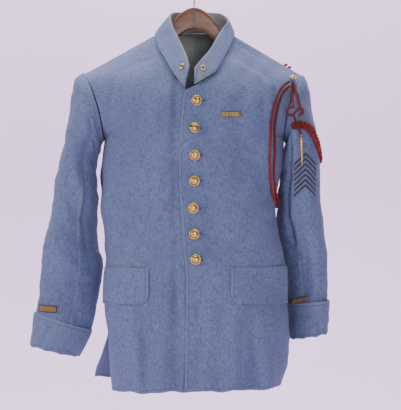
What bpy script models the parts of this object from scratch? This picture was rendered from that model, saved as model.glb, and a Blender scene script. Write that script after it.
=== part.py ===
"""A horizon-blue wool tunic hanging open-necked on a wooden hanger.

Metres, +Z up. The tunic's front faces -Y and the wearer's left is at +X. The origin is the inside
top of the hanger's hook, where a rail carries it. Each panel is a surface worked out from a short
table of sections, given its cloth thickness inwards."""

import math

import bmesh
import bpy
import numpy as np
from mathutils import Matrix, Vector
from mathutils.bvhtree import BVHTree

# Cloth and seams
CLOTH = 0.0025
LINING = 0.0012
SEAM_GAP = 0.0003
LINING_GAP = 0.0017  # the back's lining hangs this far inside its cloth
LAP = CLOTH + 0.0013
UNDER_LAP = 0.0042  # how far the under front lies behind the top one

# How finely the panels are divided
PANEL_COLUMNS = 11
PANEL_ROWS = 24
SLEEVE_ROWS = 17
SLEEVE_COLUMNS = 9

# Hanger
HOOK_WIRE = 0.004
HOOK_RADIUS = 0.020
WOOD_TOP = -0.070
WOOD_DEPTH = 0.013
WOOD_BACK = 0.004  # the wood's middle lies this far behind the shoulder seam
WOOD_HEIGHT_MIDDLE = 0.0435
WOOD_HEIGHT_TIP = 0.020
WOOD_TIP_X = 0.190
WOOD_STATIONS = (0.00015, 0.012, 0.025, 0.038, 0.050, 0.062, 0.076, 0.095, 0.120, 0.150, 0.175, 0.187)

# Buttons: one row down the front, from the collar to the waist
BUTTON_RADIUS = 0.010
BUTTON_HEIGHT = 0.0085
BUTTONS = (  # x, z
    (0.0056, -0.2576),
    (0.0006, -0.3093),
    (0.0021, -0.3592),
    (0.0013, -0.4074),
    (-0.0015, -0.4580),
    (0.0008, -0.5059),
    (0.0034, -0.5534),
)

# Level runs from 0 at the hem to 1 at the shoulder seam, and the armpit lies at this one
ARMPIT = 0.68

# The inner edge of each front: the front edge from the hem up, then the neckline to the shoulder
FRONT_EDGE = {
    1: (  # level, x, y, z of the wearer's left front, which laps on top
        (0.00, -0.0170, -0.1190, -0.7970),
        (0.15, -0.0148, -0.1130, -0.6960),
        (0.29, -0.0145, -0.1060, -0.6000),
        (0.43, -0.0213, -0.1000, -0.5050),
        (0.58, -0.0275, -0.1000, -0.3850),
        (0.68, -0.0253, -0.1000, -0.3100),
        (0.73, -0.0220, -0.0990, -0.2700),
        (0.775, -0.0165, -0.0975, -0.2390),
        (0.80, 0.0000, -0.0960, -0.2300),
        (0.83, 0.0220, -0.0900, -0.2170),
        (0.87, 0.0410, -0.0790, -0.2030),
        (0.91, 0.0535, -0.0630, -0.1810),
        (0.95, 0.0665, -0.0380, -0.1560),
        (0.975, 0.0735, -0.0200, -0.1370),
        (0.99, 0.0760, -0.0095, -0.1275),
        (1.00, 0.0770, 0.0000, -0.1245),
    ),
    -1: (  # the wearer's right front, which lies beneath
        (0.00, 0.0180, -0.1185, -0.7970),
        (0.15, 0.0200, -0.1130, -0.6960),
        (0.29, 0.0200, -0.1060, -0.6000),
        (0.43, 0.0180, -0.1000, -0.5050),
        (0.58, 0.0180, -0.1000, -0.3850),
        (0.68, 0.0180, -0.1000, -0.3100),
        (0.73, 0.0180, -0.0990, -0.2750),
        (0.775, 0.0100, -0.0975, -0.2430),
        (0.80, -0.0150, -0.0960, -0.2350),
        (0.83, -0.0260, -0.0910, -0.2230),
        (0.87, -0.0410, -0.0790, -0.2020),
        (0.91, -0.0545, -0.0610, -0.1780),
        (0.95, -0.0665, -0.0370, -0.1540),
        (0.975, -0.0715, -0.0200, -0.1370),
        (0.99, -0.0730, -0.0095, -0.1285),
        (1.00, -0.0740, 0.0000, -0.1255),
    ),
}

# The inner edge of each back: the centre back seam, then the back of the neck
NAPE = 0.905  # the centre back seam ends at this level
BACK_EDGE = (  # level, x, y, z
    (0.00, 0.000, 0.116, -0.800),
    (0.15, 0.000, 0.108, -0.700),
    (0.29, 0.000, 0.098, -0.600),
    (0.43, 0.000, 0.086, -0.500),
    (0.58, 0.000, 0.088, -0.390),
    (0.68, 0.000, 0.092, -0.310),
    (0.775, 0.000, 0.090, -0.235),
    (0.84, 0.000, 0.081, -0.170),
    (0.90, 0.000, 0.064, -0.114),
    (0.93, 0.030, 0.058, -0.112),
    (0.96, 0.056, 0.036, -0.1155),
    (0.98, 0.070, 0.016, -0.1210),
    (0.99, 0.0745, 0.008, -0.1235),
    (1.00, 0.0765, 0.000, -0.1250),
)

# The side seam below the armpit, seen from the front
SIDE_SEAM = {
    1: (  # level, x, y, z
        (0.00, 0.168, -0.014, -0.797),
        (0.06, 0.178, -0.016, -0.755),
        (0.15, 0.182, -0.016, -0.700),
        (0.29, 0.178, -0.014, -0.600),
        (0.36, 0.170, -0.012, -0.550),
        (0.43, 0.160, -0.012, -0.500),
        (0.50, 0.153, -0.010, -0.450),
        (0.58, 0.163, -0.006, -0.390),
        (0.68, 0.172, 0.000, -0.324),
    ),
    -1: (
        (0.00, -0.158, -0.016, -0.806),
        (0.06, -0.162, -0.018, -0.765),
        (0.15, -0.164, -0.018, -0.700),
        (0.29, -0.174, -0.014, -0.600),
        (0.36, -0.170, -0.012, -0.550),
        (0.43, -0.171, -0.012, -0.500),
        (0.50, -0.178, -0.010, -0.450),
        (0.58, -0.179, -0.006, -0.390),
        (0.68, -0.173, 0.000, -0.324),
    ),
}

# Below the vent the right back swings out from the front's edge
VENT_LEVEL = 0.185
VENT_SWING = {1: (-0.010, 0.010, 0.002), -1: (-0.041, 0.040, 0.022)}  # x, y, z at the hem

# The armhole, an oval from the shoulder point round under the arm
SHOULDER_POINT = {1: (0.2070, 0.0, -0.2030), -1: (-0.2110, 0.0, -0.1990)}
ARMHOLE_HALF_DEPTH = 0.062
ARMHOLE_BOW = 0.009  # the front and back of it curve in towards the chest

# Sections of each sleeve, from the armhole to the cuff's edge
SLEEVES = {
    1: (  # way, outer x, outer z, inner x, inner z, middle y, half depth, turn
        (0.00, 0.2070, -0.2030, 0.172, -0.324, 0.000, 0.062, 0.000),
        (0.05, 0.2180, -0.2190, 0.1800, -0.336, 0.000, 0.064, 0.003),
        (0.15, 0.2285, -0.2720, 0.1800, -0.354, 0.002, 0.066, 0.006),
        (0.25, 0.2345, -0.3300, 0.1765, -0.388, 0.006, 0.065, 0.010),
        (0.36, 0.2410, -0.3880, 0.1690, -0.428, 0.010, 0.062, 0.014),
        (0.47, 0.2480, -0.4480, 0.1645, -0.475, 0.014, 0.058, 0.018),
        (0.57, 0.2525, -0.5050, 0.1690, -0.525, 0.018, 0.054, 0.022),
        (0.68, 0.2550, -0.5650, 0.1730, -0.578, 0.022, 0.050, 0.024),
        (0.79, 0.2570, -0.6200, 0.1790, -0.630, 0.022, 0.046, 0.022),
        (0.87, 0.2565, -0.6600, 0.1840, -0.668, 0.020, 0.042, 0.016),
        (1.00, 0.2555, -0.6990, 0.1880, -0.712, 0.018, 0.038, 0.010),
    ),
    -1: (
        (0.00, -0.2110, -0.1990, -0.173, -0.324, 0.000, 0.062, 0.000),
        (0.05, -0.2265, -0.2150, -0.181, -0.337, 0.000, 0.064, 0.003),
        (0.15, -0.2395, -0.2700, -0.183, -0.354, 0.002, 0.066, 0.006),
        (0.25, -0.2510, -0.3330, -0.186, -0.388, 0.005, 0.066, 0.010),
        (0.36, -0.2620, -0.3900, -0.187, -0.430, 0.008, 0.064, 0.014),
        (0.47, -0.2730, -0.4450, -0.188, -0.480, 0.010, 0.060, 0.018),
        (0.57, -0.2820, -0.5000, -0.186, -0.528, 0.012, 0.055, 0.024),
        (0.68, -0.2905, -0.5500, -0.180, -0.570, 0.014, 0.050, 0.028),
        (0.79, -0.2975, -0.6000, -0.184, -0.625, 0.014, 0.044, 0.024),
        (0.87, -0.3020, -0.6450, -0.196, -0.680, 0.010, 0.037, 0.014),
        (1.00, -0.3130, -0.7220, -0.227, -0.744, 0.006, 0.034, 0.008),
    ),
}
SLEEVE_SETTLES = 0.22
FRONT_SLEEVE_SEAM = math.radians(105)
BACK_SLEEVE_SEAM = math.radians(-100)
CUFF_TOP = {1: 0.818, -1: 0.893}
CUFF_STAND = (0.0050, 0.0033)  # how far the cuff's face stands off the sleeve, top and edge

# The largest folds in the panels
FOLDS = {  # top x, top z, bottom x, bottom z, half width, depth (a trough is positive)
    "front_left": (
        (0.104, -0.640, 0.124, -0.800, 0.011, 0.0055),
        (0.128, -0.690, 0.146, -0.800, 0.012, -0.0035),
        (0.040, -0.690, 0.046, -0.800, 0.016, 0.0030),
        (0.130, -0.300, 0.118, -0.440, 0.016, 0.0025),
    ),
    "front_right": (
        (-0.096, -0.640, -0.086, -0.800, 0.010, 0.0070),
        (-0.066, -0.660, -0.058, -0.800, 0.013, -0.0050),
        (-0.128, -0.690, -0.126, -0.800, 0.012, 0.0030),
        (-0.128, -0.300, -0.118, -0.440, 0.016, 0.0025),
    ),
    "back_left": (
        (0.060, -0.600, 0.072, -0.790, 0.014, 0.0060),
        (0.110, -0.640, 0.122, -0.790, 0.013, 0.0045),
        (0.120, -0.300, 0.095, -0.460, 0.018, 0.0030),
    ),
    "back_right": (
        (-0.056, -0.610, -0.068, -0.790, 0.014, 0.0060),
        (-0.108, -0.650, -0.126, -0.790, 0.013, 0.0045),
        (-0.118, -0.300, -0.092, -0.460, 0.018, 0.0030),
    ),
}

# The stand collar: its seam and its top edge, from one front end round the neck to the other
COLLAR = (  # way, seam x, y, z, top x, y, z
    (0.00, -0.0165, -0.0985, -0.2345, -0.0078, -0.0930, -0.1960),
    (0.05, -0.0250, -0.0955, -0.2240, -0.0115, -0.0800, -0.1790),
    (0.12, -0.0410, -0.0815, -0.2010, -0.0193, -0.0560, -0.1560),
    (0.20, -0.0545, -0.0630, -0.1765, -0.0304, -0.0320, -0.1320),
    (0.28, -0.0672, -0.0375, -0.1520, -0.0400, -0.0090, -0.1090),
    (0.35, -0.0740, 0.0000, -0.1225, -0.0450, 0.0150, -0.0875),
    (0.42, -0.0590, 0.0400, -0.1130, -0.0370, 0.0370, -0.0765),
    (0.50, 0.0000, 0.0655, -0.1110, 0.0020, 0.0500, -0.0735),
    (0.58, 0.0590, 0.0400, -0.1120, 0.0480, 0.0360, -0.0780),
    (0.65, 0.0765, 0.0000, -0.1215, 0.0650, 0.0120, -0.0950),
    (0.72, 0.0672, -0.0390, -0.1530, 0.0560, -0.0100, -0.1110),
    (0.80, 0.0540, -0.0645, -0.1790, 0.0420, -0.0330, -0.1360),
    (0.88, 0.0410, -0.0815, -0.2015, 0.0286, -0.0560, -0.1600),
    (0.95, 0.0180, -0.0950, -0.2170, 0.0125, -0.0790, -0.1800),
    (1.00, 0.0005, -0.0990, -0.2275, 0.0005, -0.0930, -0.1970),
)
COLLAR_COLUMNS = 22
COLLAR_ROWS = 3
COLLAR_OFF = 0.0035  # the collar's outer face stands this far off the seam line
COLLAR_MIDDLE = 0.50
COLLAR_GAP = 0.0012

# Pocket flaps: the inner edge, the top line, the bottom line
FLAP_INNER_X = {1: 0.0690, -1: -0.0840}
FLAP_TOP_Z = {1: -0.5695, -1: -0.5705}
FLAP_DROP = 0.0680
FLAP_OUTER = 0.93  # across the front, towards the side seam
FLAP_CORNER = 0.022
FLAP_LIFT = 0.0012
FLAP_OFF = 0.0009

# Small metal: how high a button's shank starts, the shoulder button, the collar's pieces
BUTTON_SEAT = 0.0005
SHOULDER_BUTTON = (0.1865, -0.2130)  # x, z
SHOULDER_BUTTON_RADIUS = 0.0060
SHOULDER_BUTTON_HEIGHT = 0.0085
EYELETS = ((-0.0222, -0.1935), (0.0172, -0.1965))  # x, z
FASTENING_WIRE = 0.0011
FASTENING = {  # where its two legs start on the collar (x, z), its loop (x, y, z)
    "collar_eye": (
        ((-0.0150, -0.2170), (-0.0150, -0.2220)),
        ((-0.0110, -0.1012, -0.2165), (-0.0080, -0.1014, -0.2195), (-0.0110, -0.1012, -0.2225)),
    ),
    "collar_hook": (
        ((0.0040, -0.2175), (0.0040, -0.2215)),
        ((-0.0020, -0.1025, -0.2172), (-0.0066, -0.1014, -0.2195), (-0.0020, -0.1025, -0.2218)),
    ),
}

# Ribbon bar on the left breast: left, right, top, bottom
RIBBON_BAR = (0.0507, 0.0879, -0.2778, -0.2878)

# Chevrons on the left sleeve, points up
CHEVRONS = 7
CHEVRON_X = 0.2108
CHEVRON_TOP = -0.3530
CHEVRON_STEP = 0.0099
CHEVRON_LINE = 0.0049
CHEVRON_HALF_WIDTH = 0.0205

# Rank lace above each cuff: left, right, (top z at each end), (bottom z at each end), off the sleeve
LACE = {
    1: (0.1873, 0.2193, (-0.6330, -0.6250), (-0.6430, -0.6330), 0.0062),
    -1: (-0.2960, -0.2610, (-0.6420, -0.6440), (-0.6560, -0.6580), 0.0014),
}

# The shoulder cord
CORD = 0.0034
CORD_CLEARANCE = 0.0009
PLAIN_CORDS = {  # seen from, x, off the cloth, z; a free point is x, y, z
    "cord_outer": (
        ("front", 0.1800, 0.0040, -0.2200),
        ("front", 0.1712, 0.0034, -0.2248),
        ("front", 0.1617, 0.0030, -0.2354),
        ("front", 0.1543, 0.0030, -0.2513),
        ("front", 0.1488, 0.0030, -0.2689),
        ("front", 0.1445, 0.0030, -0.2900),
        ("front", 0.1425, 0.0030, -0.3150),
        ("front", 0.1409, 0.0030, -0.3526),
        ("front", 0.1420, 0.0030, -0.3826),
        ("front", 0.1432, 0.0030, -0.4126),
        ("front", 0.1475, 0.0035, -0.4388),
        ("free", 0.1585, -0.0250, -0.4530),
        ("free", 0.1590, 0.0050, -0.4560),
        ("free", 0.1550, 0.0420, -0.4480),
        ("back", 0.1380, 0.0040, -0.4150),
        ("back", 0.1340, 0.0040, -0.3600),
        ("back", 0.1400, 0.0040, -0.3100),
        ("back", 0.1500, 0.0040, -0.2650),
        ("back", 0.1640, 0.0040, -0.2250),
        ("free", 0.1710, 0.0400, -0.1960),
        ("free", 0.1750, 0.0180, -0.1830),
        ("free", 0.1780, 0.0000, -0.1800),
        ("free", 0.1790, -0.0180, -0.1860),
    ),
    "cord_inner": (
        ("front", 0.1800, 0.0040, -0.2285),
        ("front", 0.1735, 0.0034, -0.2330),
        ("front", 0.1655, 0.0032, -0.2440),
        ("front", 0.1595, 0.0032, -0.2590),
        ("front", 0.1545, 0.0032, -0.2777),
        ("front", 0.1505, 0.0030, -0.3032),
        ("front", 0.1488, 0.0030, -0.3258),
        ("front", 0.1482, 0.0030, -0.3600),
        ("front", 0.1490, 0.0030, -0.4000),
        ("front", 0.1510, 0.0030, -0.4200),
        ("free", 0.1600, -0.0300, -0.4400),
        ("free", 0.1625, 0.0050, -0.4480),
        ("free", 0.1590, 0.0400, -0.4380),
        ("back", 0.1450, 0.0040, -0.4050),
        ("back", 0.1410, 0.0040, -0.3600),
        ("back", 0.1470, 0.0040, -0.3100),
        ("back", 0.1570, 0.0040, -0.2650),
        ("back", 0.1710, 0.0040, -0.2300),
        ("free", 0.1780, 0.0400, -0.2000),
        ("free", 0.1820, 0.0180, -0.1875),
        ("free", 0.1850, 0.0000, -0.1850),
        ("free", 0.1860, -0.0180, -0.1910),
    ),
}
BRAID_WIDE = 0.0150
BRAID_THICK = 0.0080
BRAID = (  # way down the sleeve, degrees round it, off the cloth
    (0.060, 112, 0.0052),
    (0.090, 100, 0.0049),
    (0.130, 84, 0.0049),
    (0.170, 66, 0.0049),
    (0.215, 48, 0.0049),
    (0.260, 28, 0.0049),
    (0.300, 8, 0.0049),
    (0.315, -12, 0.0049),
    (0.305, -35, 0.0049),
    (0.250, -60, 0.0049),
    (0.170, -78, 0.0049),
    (0.090, -84, 0.0052),
)
SHORT_CORDS = {  # route (x, y, z), diameter, points
    "cord_knot": (
        (
            (0.1880, -0.0800, -0.2680), (0.1800, -0.0800, -0.2690), (0.1745, -0.0800, -0.2760),
            (0.1790, -0.0800, -0.2835), (0.1870, -0.0790, -0.2820), (0.1930, -0.0780, -0.2750),
            (0.1990, -0.0770, -0.2690), (0.2045, -0.0760, -0.2740), (0.2030, -0.0760, -0.2810),
            (0.1965, -0.0770, -0.2830),
        ),
        0.0034, 26,
    ),
    "cord_drop_left": (
        ((0.1830, -0.0420, -0.2250), (0.1845, -0.0640, -0.2430), (0.1875, -0.0795, -0.2657)),
        0.0032, 8,
    ),
    "cord_drop_right": (
        ((0.1890, -0.0480, -0.2240), (0.1940, -0.0690, -0.2400), (0.1990, -0.0771, -0.2667)),
        0.0032, 8,
    ),
    "cord_pendant": (
        ((0.1873, -0.0790, -0.2842), (0.1950, -0.0785, -0.3040), (0.2015, -0.0780, -0.3200)),
        0.0032, 8,
    ),
}
FERRULE_TOP = (0.2017, -0.0780, -0.3206)
FERRULE_WAY = (-0.02, 0.04, 1.0)
FERRULE = (  # radius, height below the top
    (0.0, 0.0),
    (0.0024, -0.0008),
    (0.0035, -0.0040),
    (0.0024, -0.0072),
    (0.0030, -0.0085),
    (0.0020, -0.0110),
    (0.0022, -0.0230),
    (0.0028, -0.0250),
    (0.0019, -0.0275),
    (0.0012, -0.0480),
    (0.0, -0.0600),
)

BLUE = (0.155, 0.212, 0.370)
PIECES = {  # material: colour, metallic, roughness
    "serge": (BLUE, 0.0, 0.90),
    "lining_cloth": ((0.17, 0.20, 0.19), 0.0, 0.85),
    "brass": ((0.71, 0.52, 0.22), 1.0, 0.35),
    "gold_lace": ((0.42, 0.27, 0.08), 0.2, 0.55),
    "navy_cloth": ((0.035, 0.045, 0.085), 0.0, 0.90),
    "grey_cloth": ((0.13, 0.15, 0.20), 0.0, 0.90),
    "ribbon_cloth": ((0.45, 0.33, 0.10), 0.0, 0.70),
    "bronze": ((0.13, 0.10, 0.05), 1.0, 0.45),
    "red_cord": ((0.30, 0.055, 0.045), 0.0, 0.80),
    "varnished_wood": ((0.36, 0.15, 0.05), 0.0, 0.35),
    "steel": ((0.30, 0.30, 0.31), 1.0, 0.35),
    "black_metal": ((0.02, 0.02, 0.02), 1.0, 0.50),
}


def material(name):
    """The named finish, made once."""
    found = bpy.data.materials.get(name)
    if found:
        return found
    colour, metallic, roughness = PIECES[name]
    found = bpy.data.materials.new(name)
    found.use_nodes = True
    shader = found.node_tree.nodes["Principled BSDF"]
    shader.inputs["Base Color"].default_value = (*colour, 1)
    shader.inputs["Metallic"].default_value = metallic
    shader.inputs["Roughness"].default_value = roughness
    found.diffuse_color = (*colour, 1)
    return found


def eased(rows, at):
    """The table's columns at the given stops: a monotone cubic through its rows."""
    table = np.array(rows, float)
    at = np.asarray(at, float)
    stops, values = table[:, 0], table[:, 1:]
    step = np.diff(stops)[:, None]
    rise = np.diff(values, axis=0) / step
    before, after = rise[:-1], rise[1:]
    turning = before * after <= 0
    long, short = 2 * step[1:] + step[:-1], step[1:] + 2 * step[:-1]
    mean = (long + short) / (long / np.where(turning, 1, before) + short / np.where(turning, 1, after))
    slope = np.vstack([rise[:1], np.where(turning, 0, mean), rise[-1:]])
    i = np.clip(np.searchsorted(stops, at, side="right") - 1, 0, len(stops) - 2)
    width = step[i]
    f = (at - stops[i])[..., None] / width
    rest = 1 - f
    start = values[i] * (1 + 2 * f) * rest**2 + slope[i] * width * f * rest**2
    end = values[i + 1] * (3 - 2 * f) * f**2 - slope[i + 1] * width * rest * f**2
    return start + end


def smooth(low, high, x):
    """0 below low, 1 above high, eased between them."""
    f = np.clip((x - low) / (high - low), 0, 1)
    return f * f * (3 - 2 * f)


def normals_of(grid):
    """Unit normals of a grid of points, from its neighbours along both ways."""
    along, across = np.gradient(grid, axis=0), np.gradient(grid, axis=1)
    normal = np.cross(across, along)
    return normal / np.linalg.norm(normal, axis=2, keepdims=True)


def facing_of(surface, level, across, outward, ends=(0, 1)):
    """The way a surface faces at each point, from four points close round it."""
    step = 0.002
    up = surface(np.minimum(level + step, 1), across) - surface(np.maximum(level - step, 0), across)
    right, left = np.minimum(across + step, ends[1]), np.maximum(across - step, ends[0])
    normal = np.cross(surface(level, right) - surface(level, left), up) * outward
    return normal / np.linalg.norm(normal, axis=2, keepdims=True)


def armhole(side, angle):
    """The armhole's seam: angle 0 at the shoulder point, 90 degrees in front, 180 under the arm."""
    top = np.array(SHOULDER_POINT[side])
    low = np.array(SIDE_SEAM[side][-1][1:])
    middle, reach = (top + low) / 2, (top - low) / 2
    forward = np.array([0, -ARMHOLE_HALF_DEPTH, 0])
    inwards = np.array([-side * ARMHOLE_BOW, 0, 0])
    c, s = np.cos(angle)[..., None], np.sin(angle)[..., None]
    return middle + reach * c + forward * s + inwards * s**2


def torso(edge_rows, side, across, level, front):
    """A body panel. Each level is a Bezier from the panel's inner edge to the side seam or the
    armhole: it leaves the edge sideways, and meets the side going straight back below the armpit
    and more and more sideways up to the shoulder."""
    edge = eased(edge_rows, level)
    seam = eased(SIDE_SEAM[side], np.minimum(level, ARMPIT))
    rise = np.clip((level - ARMPIT) / (1 - ARMPIT), 0, 1)
    turned = math.pi * (1 - rise) if front else math.pi * (1 + rise)
    outer = np.where((level > ARMPIT)[:, None], armhole(side, turned), seam)
    if not front:
        swing = smooth(VENT_LEVEL, -0.05, level)[:, None]
        outer = outer + swing * np.array(VENT_SWING[side])
    heading = np.radians(90 * (1 - rise**0.8))
    back = 1 if front else -1
    out = np.abs(outer[:, 0] - edge[:, 0])
    deep = np.abs(outer[:, 1] - edge[:, 1])
    leave = np.zeros_like(edge)
    leave[:, 0] = side * out * (0.60 - 0.2 * rise)
    reach = (0.80 - 0.25 * rise) * deep * np.sin(heading) + 0.3 * out * np.cos(heading)
    arrive = np.zeros_like(edge)
    arrive[:, 0] = side * reach * np.cos(heading)
    arrive[:, 1] = back * reach * np.sin(heading)
    fine = np.linspace(0, 1, 65)[:, None, None]
    rest = 1 - fine
    line = (
        rest**3 * edge
        + 3 * rest**2 * fine * (edge + leave)
        + 3 * rest * fine**2 * (outer - arrive)
        + fine**3 * outer
    )
    flat = line[..., :2]
    steps = np.linalg.norm(np.diff(flat, axis=0), axis=2)
    run = np.concatenate([np.zeros((1, len(edge))), np.cumsum(steps, axis=0)])
    run /= run[-1]
    grid = np.empty((len(level), len(across), 3))
    for row in range(len(level)):
        for axis in range(2):
            grid[row, :, axis] = np.interp(across, run[:, row], line[:, row, axis])
        grid[row, :, 2] = edge[row, 2] + (outer[row, 2] - edge[row, 2]) * across
    return grid


def fold_depth(grid, folds):
    """How deep the panel's largest folds are: each is a soft trough or ridge along a slanting line."""
    depth = np.zeros(grid.shape[:2])
    for top_x, top_z, low_x, low_z, half, deep in folds:
        way = (top_z - grid[..., 2]) / (top_z - low_z)
        line = top_x + (low_x - top_x) * way
        to_hem = smooth(-0.15, 0.45, way)
        short = np.exp(-((way - 0.5) ** 2) * 8)
        depth += deep * (to_hem if low_z < -0.7 else short) * np.exp(-(((grid[..., 0] - line) / half) ** 2))
    return depth[..., None]


def levels(count):
    """Rows up a panel, closer together over the shoulder's rounded edge."""
    even = np.linspace(0, 1, count)
    return 1 - (1 - even) ** 1.25


def back_edge(side):
    """The inner edge of one half of the back."""
    return [(row[0], side * row[1], row[2], row[3]) for row in BACK_EDGE]


def panel(edge, side, front, name, level, across):
    """A whole front or half the back as its outer face, with its lap and its largest folds."""
    grid = torso(edge, side, across, level, front)
    outward = side if front else -side
    if front and side < 0:
        under = smooth(-0.050, -0.030, grid[..., 0]) * smooth(-0.215, -0.240, grid[..., 2])
        grid[..., 1] += UNDER_LAP * under
    facing = facing_of(lambda a, b: torso(edge, side, b, a, front), level, across, outward)
    return grid - fold_depth(grid, FOLDS[name]) * facing


def front_panel(side, level, across):
    """A front's outer face, and the way it faces."""
    name = "front_left" if side > 0 else "front_right"

    def surface(a, b):
        return panel(FRONT_EDGE[side], side, True, name, a, b)

    grid, facing = surface(level, across), facing_of(surface, level, across, side)
    grid[-1, :, 1] = -SEAM_GAP / 2
    facing[-1, :, 1] = 0
    grid[level < ARMPIT, -1, 1] -= SEAM_GAP / 2
    facing[level < ARMPIT, -1, 1] = 0
    return grid, facing / np.linalg.norm(facing, axis=2, keepdims=True)


def back_panel(side, level, across):
    """The outer face of half the back, and the way it faces."""
    name = "back_left" if side > 0 else "back_right"

    def surface(a, b):
        return panel(back_edge(side), side, False, name, a, b)

    grid, facing = surface(level, across), facing_of(surface, level, across, -side)
    grid[-1, :, 1] = SEAM_GAP / 2
    facing[-1, :, 1] = 0
    grid[level < ARMPIT, -1, 1] += SEAM_GAP / 2
    facing[level < ARMPIT, -1, 1] = 0
    middle = level < NAPE
    grid[middle, 0, 0] = side * SEAM_GAP / 2
    facing[middle, 0, 0] = 0
    return grid, facing / np.linalg.norm(facing, axis=2, keepdims=True)


def armhole_normals(side, angle):
    """Which way the body's cloth faces round the armhole."""
    level = np.linspace(ARMPIT + 0.004, 0.992, 40)
    across = np.array([0.94, 0.97, 1.0])
    front = normals_of(torso(FRONT_EDGE[side], side, across, level, True))[:, -1] * side
    back = normals_of(torso(back_edge(side), side, across, level, False))[:, -1] * -side
    turned = math.pi * (1 - (level - ARMPIT) / (1 - ARMPIT))
    angles = np.concatenate([turned[::-1], 2 * math.pi - turned])
    faces = np.concatenate([front[::-1], back])
    order = np.argsort(angles)
    found = np.stack(
        [np.interp(angle, angles[order], faces[order, i], period=2 * math.pi) for i in range(3)], axis=-1
    )
    return found / np.linalg.norm(found, axis=-1, keepdims=True)


def sleeve(side, way, angle):
    """A sleeve as rings: each is an oval between its outer and inner points, turned a little so
    that its inner side lies further back. The first ring laps over the armhole's edge."""
    row = eased(SLEEVES[side], way)
    outer = np.stack([row[:, 0], row[:, 4] - row[:, 6], row[:, 1]], axis=1)[:, None]
    inner = np.stack([row[:, 2], row[:, 4] + row[:, 6], row[:, 3]], axis=1)[:, None]
    c, s = np.cos(angle)[None, :, None], np.sin(angle)[None, :, None]
    forward = np.zeros((len(way), 1, 3))
    forward[:, 0, 1] = -row[:, 5]
    settle = (1 - smooth(0, SLEEVE_SETTLES, way))[:, None, None]
    bow = np.array([-side * ARMHOLE_BOW, 0, 0]) * s**2 * settle
    grid = (outer + inner) / 2 + (outer - inner) / 2 * c + forward * s + bow
    lap = LAP * armhole_normals(side, np.mod(angle, 2 * math.pi))
    return grid + lap[None] * settle


def sleeve_face(side, way, angle):
    """A sleeve's outer face and the way it faces. Its first ring faces as the body does there."""
    grid = sleeve(side, way, angle)
    facing = facing_of(lambda a, b: sleeve(side, a, b), way, angle, side, (-9, 9))
    first = (1 - smooth(0, 0.04, way))[:, None, None]
    facing = facing * (1 - first) + armhole_normals(side, np.mod(angle, 2 * math.pi))[None] * first
    return grid, facing / np.linalg.norm(facing, axis=2, keepdims=True)


def cuff(side, way, angle):
    """The turned-back cuff: the sleeve's own rings moved out, more at its top than at its edge."""
    grid, facing = sleeve_face(side, way, angle)
    up = ((1 - way) / (1 - CUFF_TOP[side]))[:, None, None]
    return grid + facing * (CUFF_STAND[1] + (CUFF_STAND[0] - CUFF_STAND[1]) * up), facing


def new_object(name, data, finish):
    made = bpy.data.objects.new(name, data)
    bpy.context.scene.collection.objects.link(made)
    data.materials.append(material(finish))
    return made


def cloth(name, grid, facing, finish="serge", thickness=CLOTH, around=False):
    """A closed wall of cloth: its outer face, the same face moved in, and the edges between."""
    rows, columns = grid.shape[:2]
    index = np.arange(rows * columns).reshape(rows, columns)
    if around:
        index = np.concatenate([index, index[:, :1]], axis=1)
    outer = np.stack([index[:-1, :-1], index[:-1, 1:], index[1:, 1:], index[1:, :-1]], axis=-1).reshape(-1, 4)
    first = grid.reshape(-1, 3)[outer[0]]
    if np.dot(np.cross(first[1] - first[0], first[3] - first[0]), facing[0, 0]) < 0:
        outer = outer[:, [0, 3, 2, 1]]
    ends = np.stack([outer, np.roll(outer, -1, axis=1)], axis=-1).reshape(-1, 2)
    _, which, uses = np.unique(np.sort(ends, axis=1), axis=0, return_inverse=True, return_counts=True)
    rim = ends[uses[which.reshape(-1)] == 1]
    inside = rows * columns
    edges = np.stack([rim[:, 1], rim[:, 0], rim[:, 0] + inside, rim[:, 1] + inside], axis=1)
    rising = rim[:, 0] < rim[:, 1]
    edges[rising] = np.roll(edges[rising], -1, axis=1)
    points = np.concatenate([grid.reshape(-1, 3), (grid - facing * thickness).reshape(-1, 3)])
    mesh = bpy.data.meshes.new(name)
    mesh.from_pydata(points.tolist(), [], np.concatenate([outer, outer[:, [0, 3, 2, 1]] + inside, edges]).tolist())
    mesh.shade_smooth()
    mesh.set_sharp_from_angle(angle=math.radians(50))
    made = new_object(name, mesh, finish)
    made["outer_faces"] = len(outer)
    return made


def solid_of_rings(name, rings, finish):
    """A closed body through rings of points, with a flat cap at each end."""
    count, points = rings.shape[:2]
    index = np.arange(count * points).reshape(count, points)
    index = np.concatenate([index, index[:, :1]], axis=1)
    sides = np.stack([index[:-1, :-1], index[:-1, 1:], index[1:, 1:], index[1:, :-1]], axis=-1).reshape(-1, 4)
    caps = [index[0, :-1].tolist(), index[-1, :-1].tolist()]
    mesh = bpy.data.meshes.new(name)
    mesh.from_pydata(rings.reshape(-1, 3).tolist(), [], sides.tolist() + caps)
    work = bmesh.new()
    work.from_mesh(mesh)
    bmesh.ops.recalc_face_normals(work, faces=work.faces)
    work.to_mesh(mesh)
    work.free()
    mesh.shade_smooth()
    mesh.set_sharp_from_angle(angle=math.radians(50))
    return new_object(name, mesh, finish)


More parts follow.
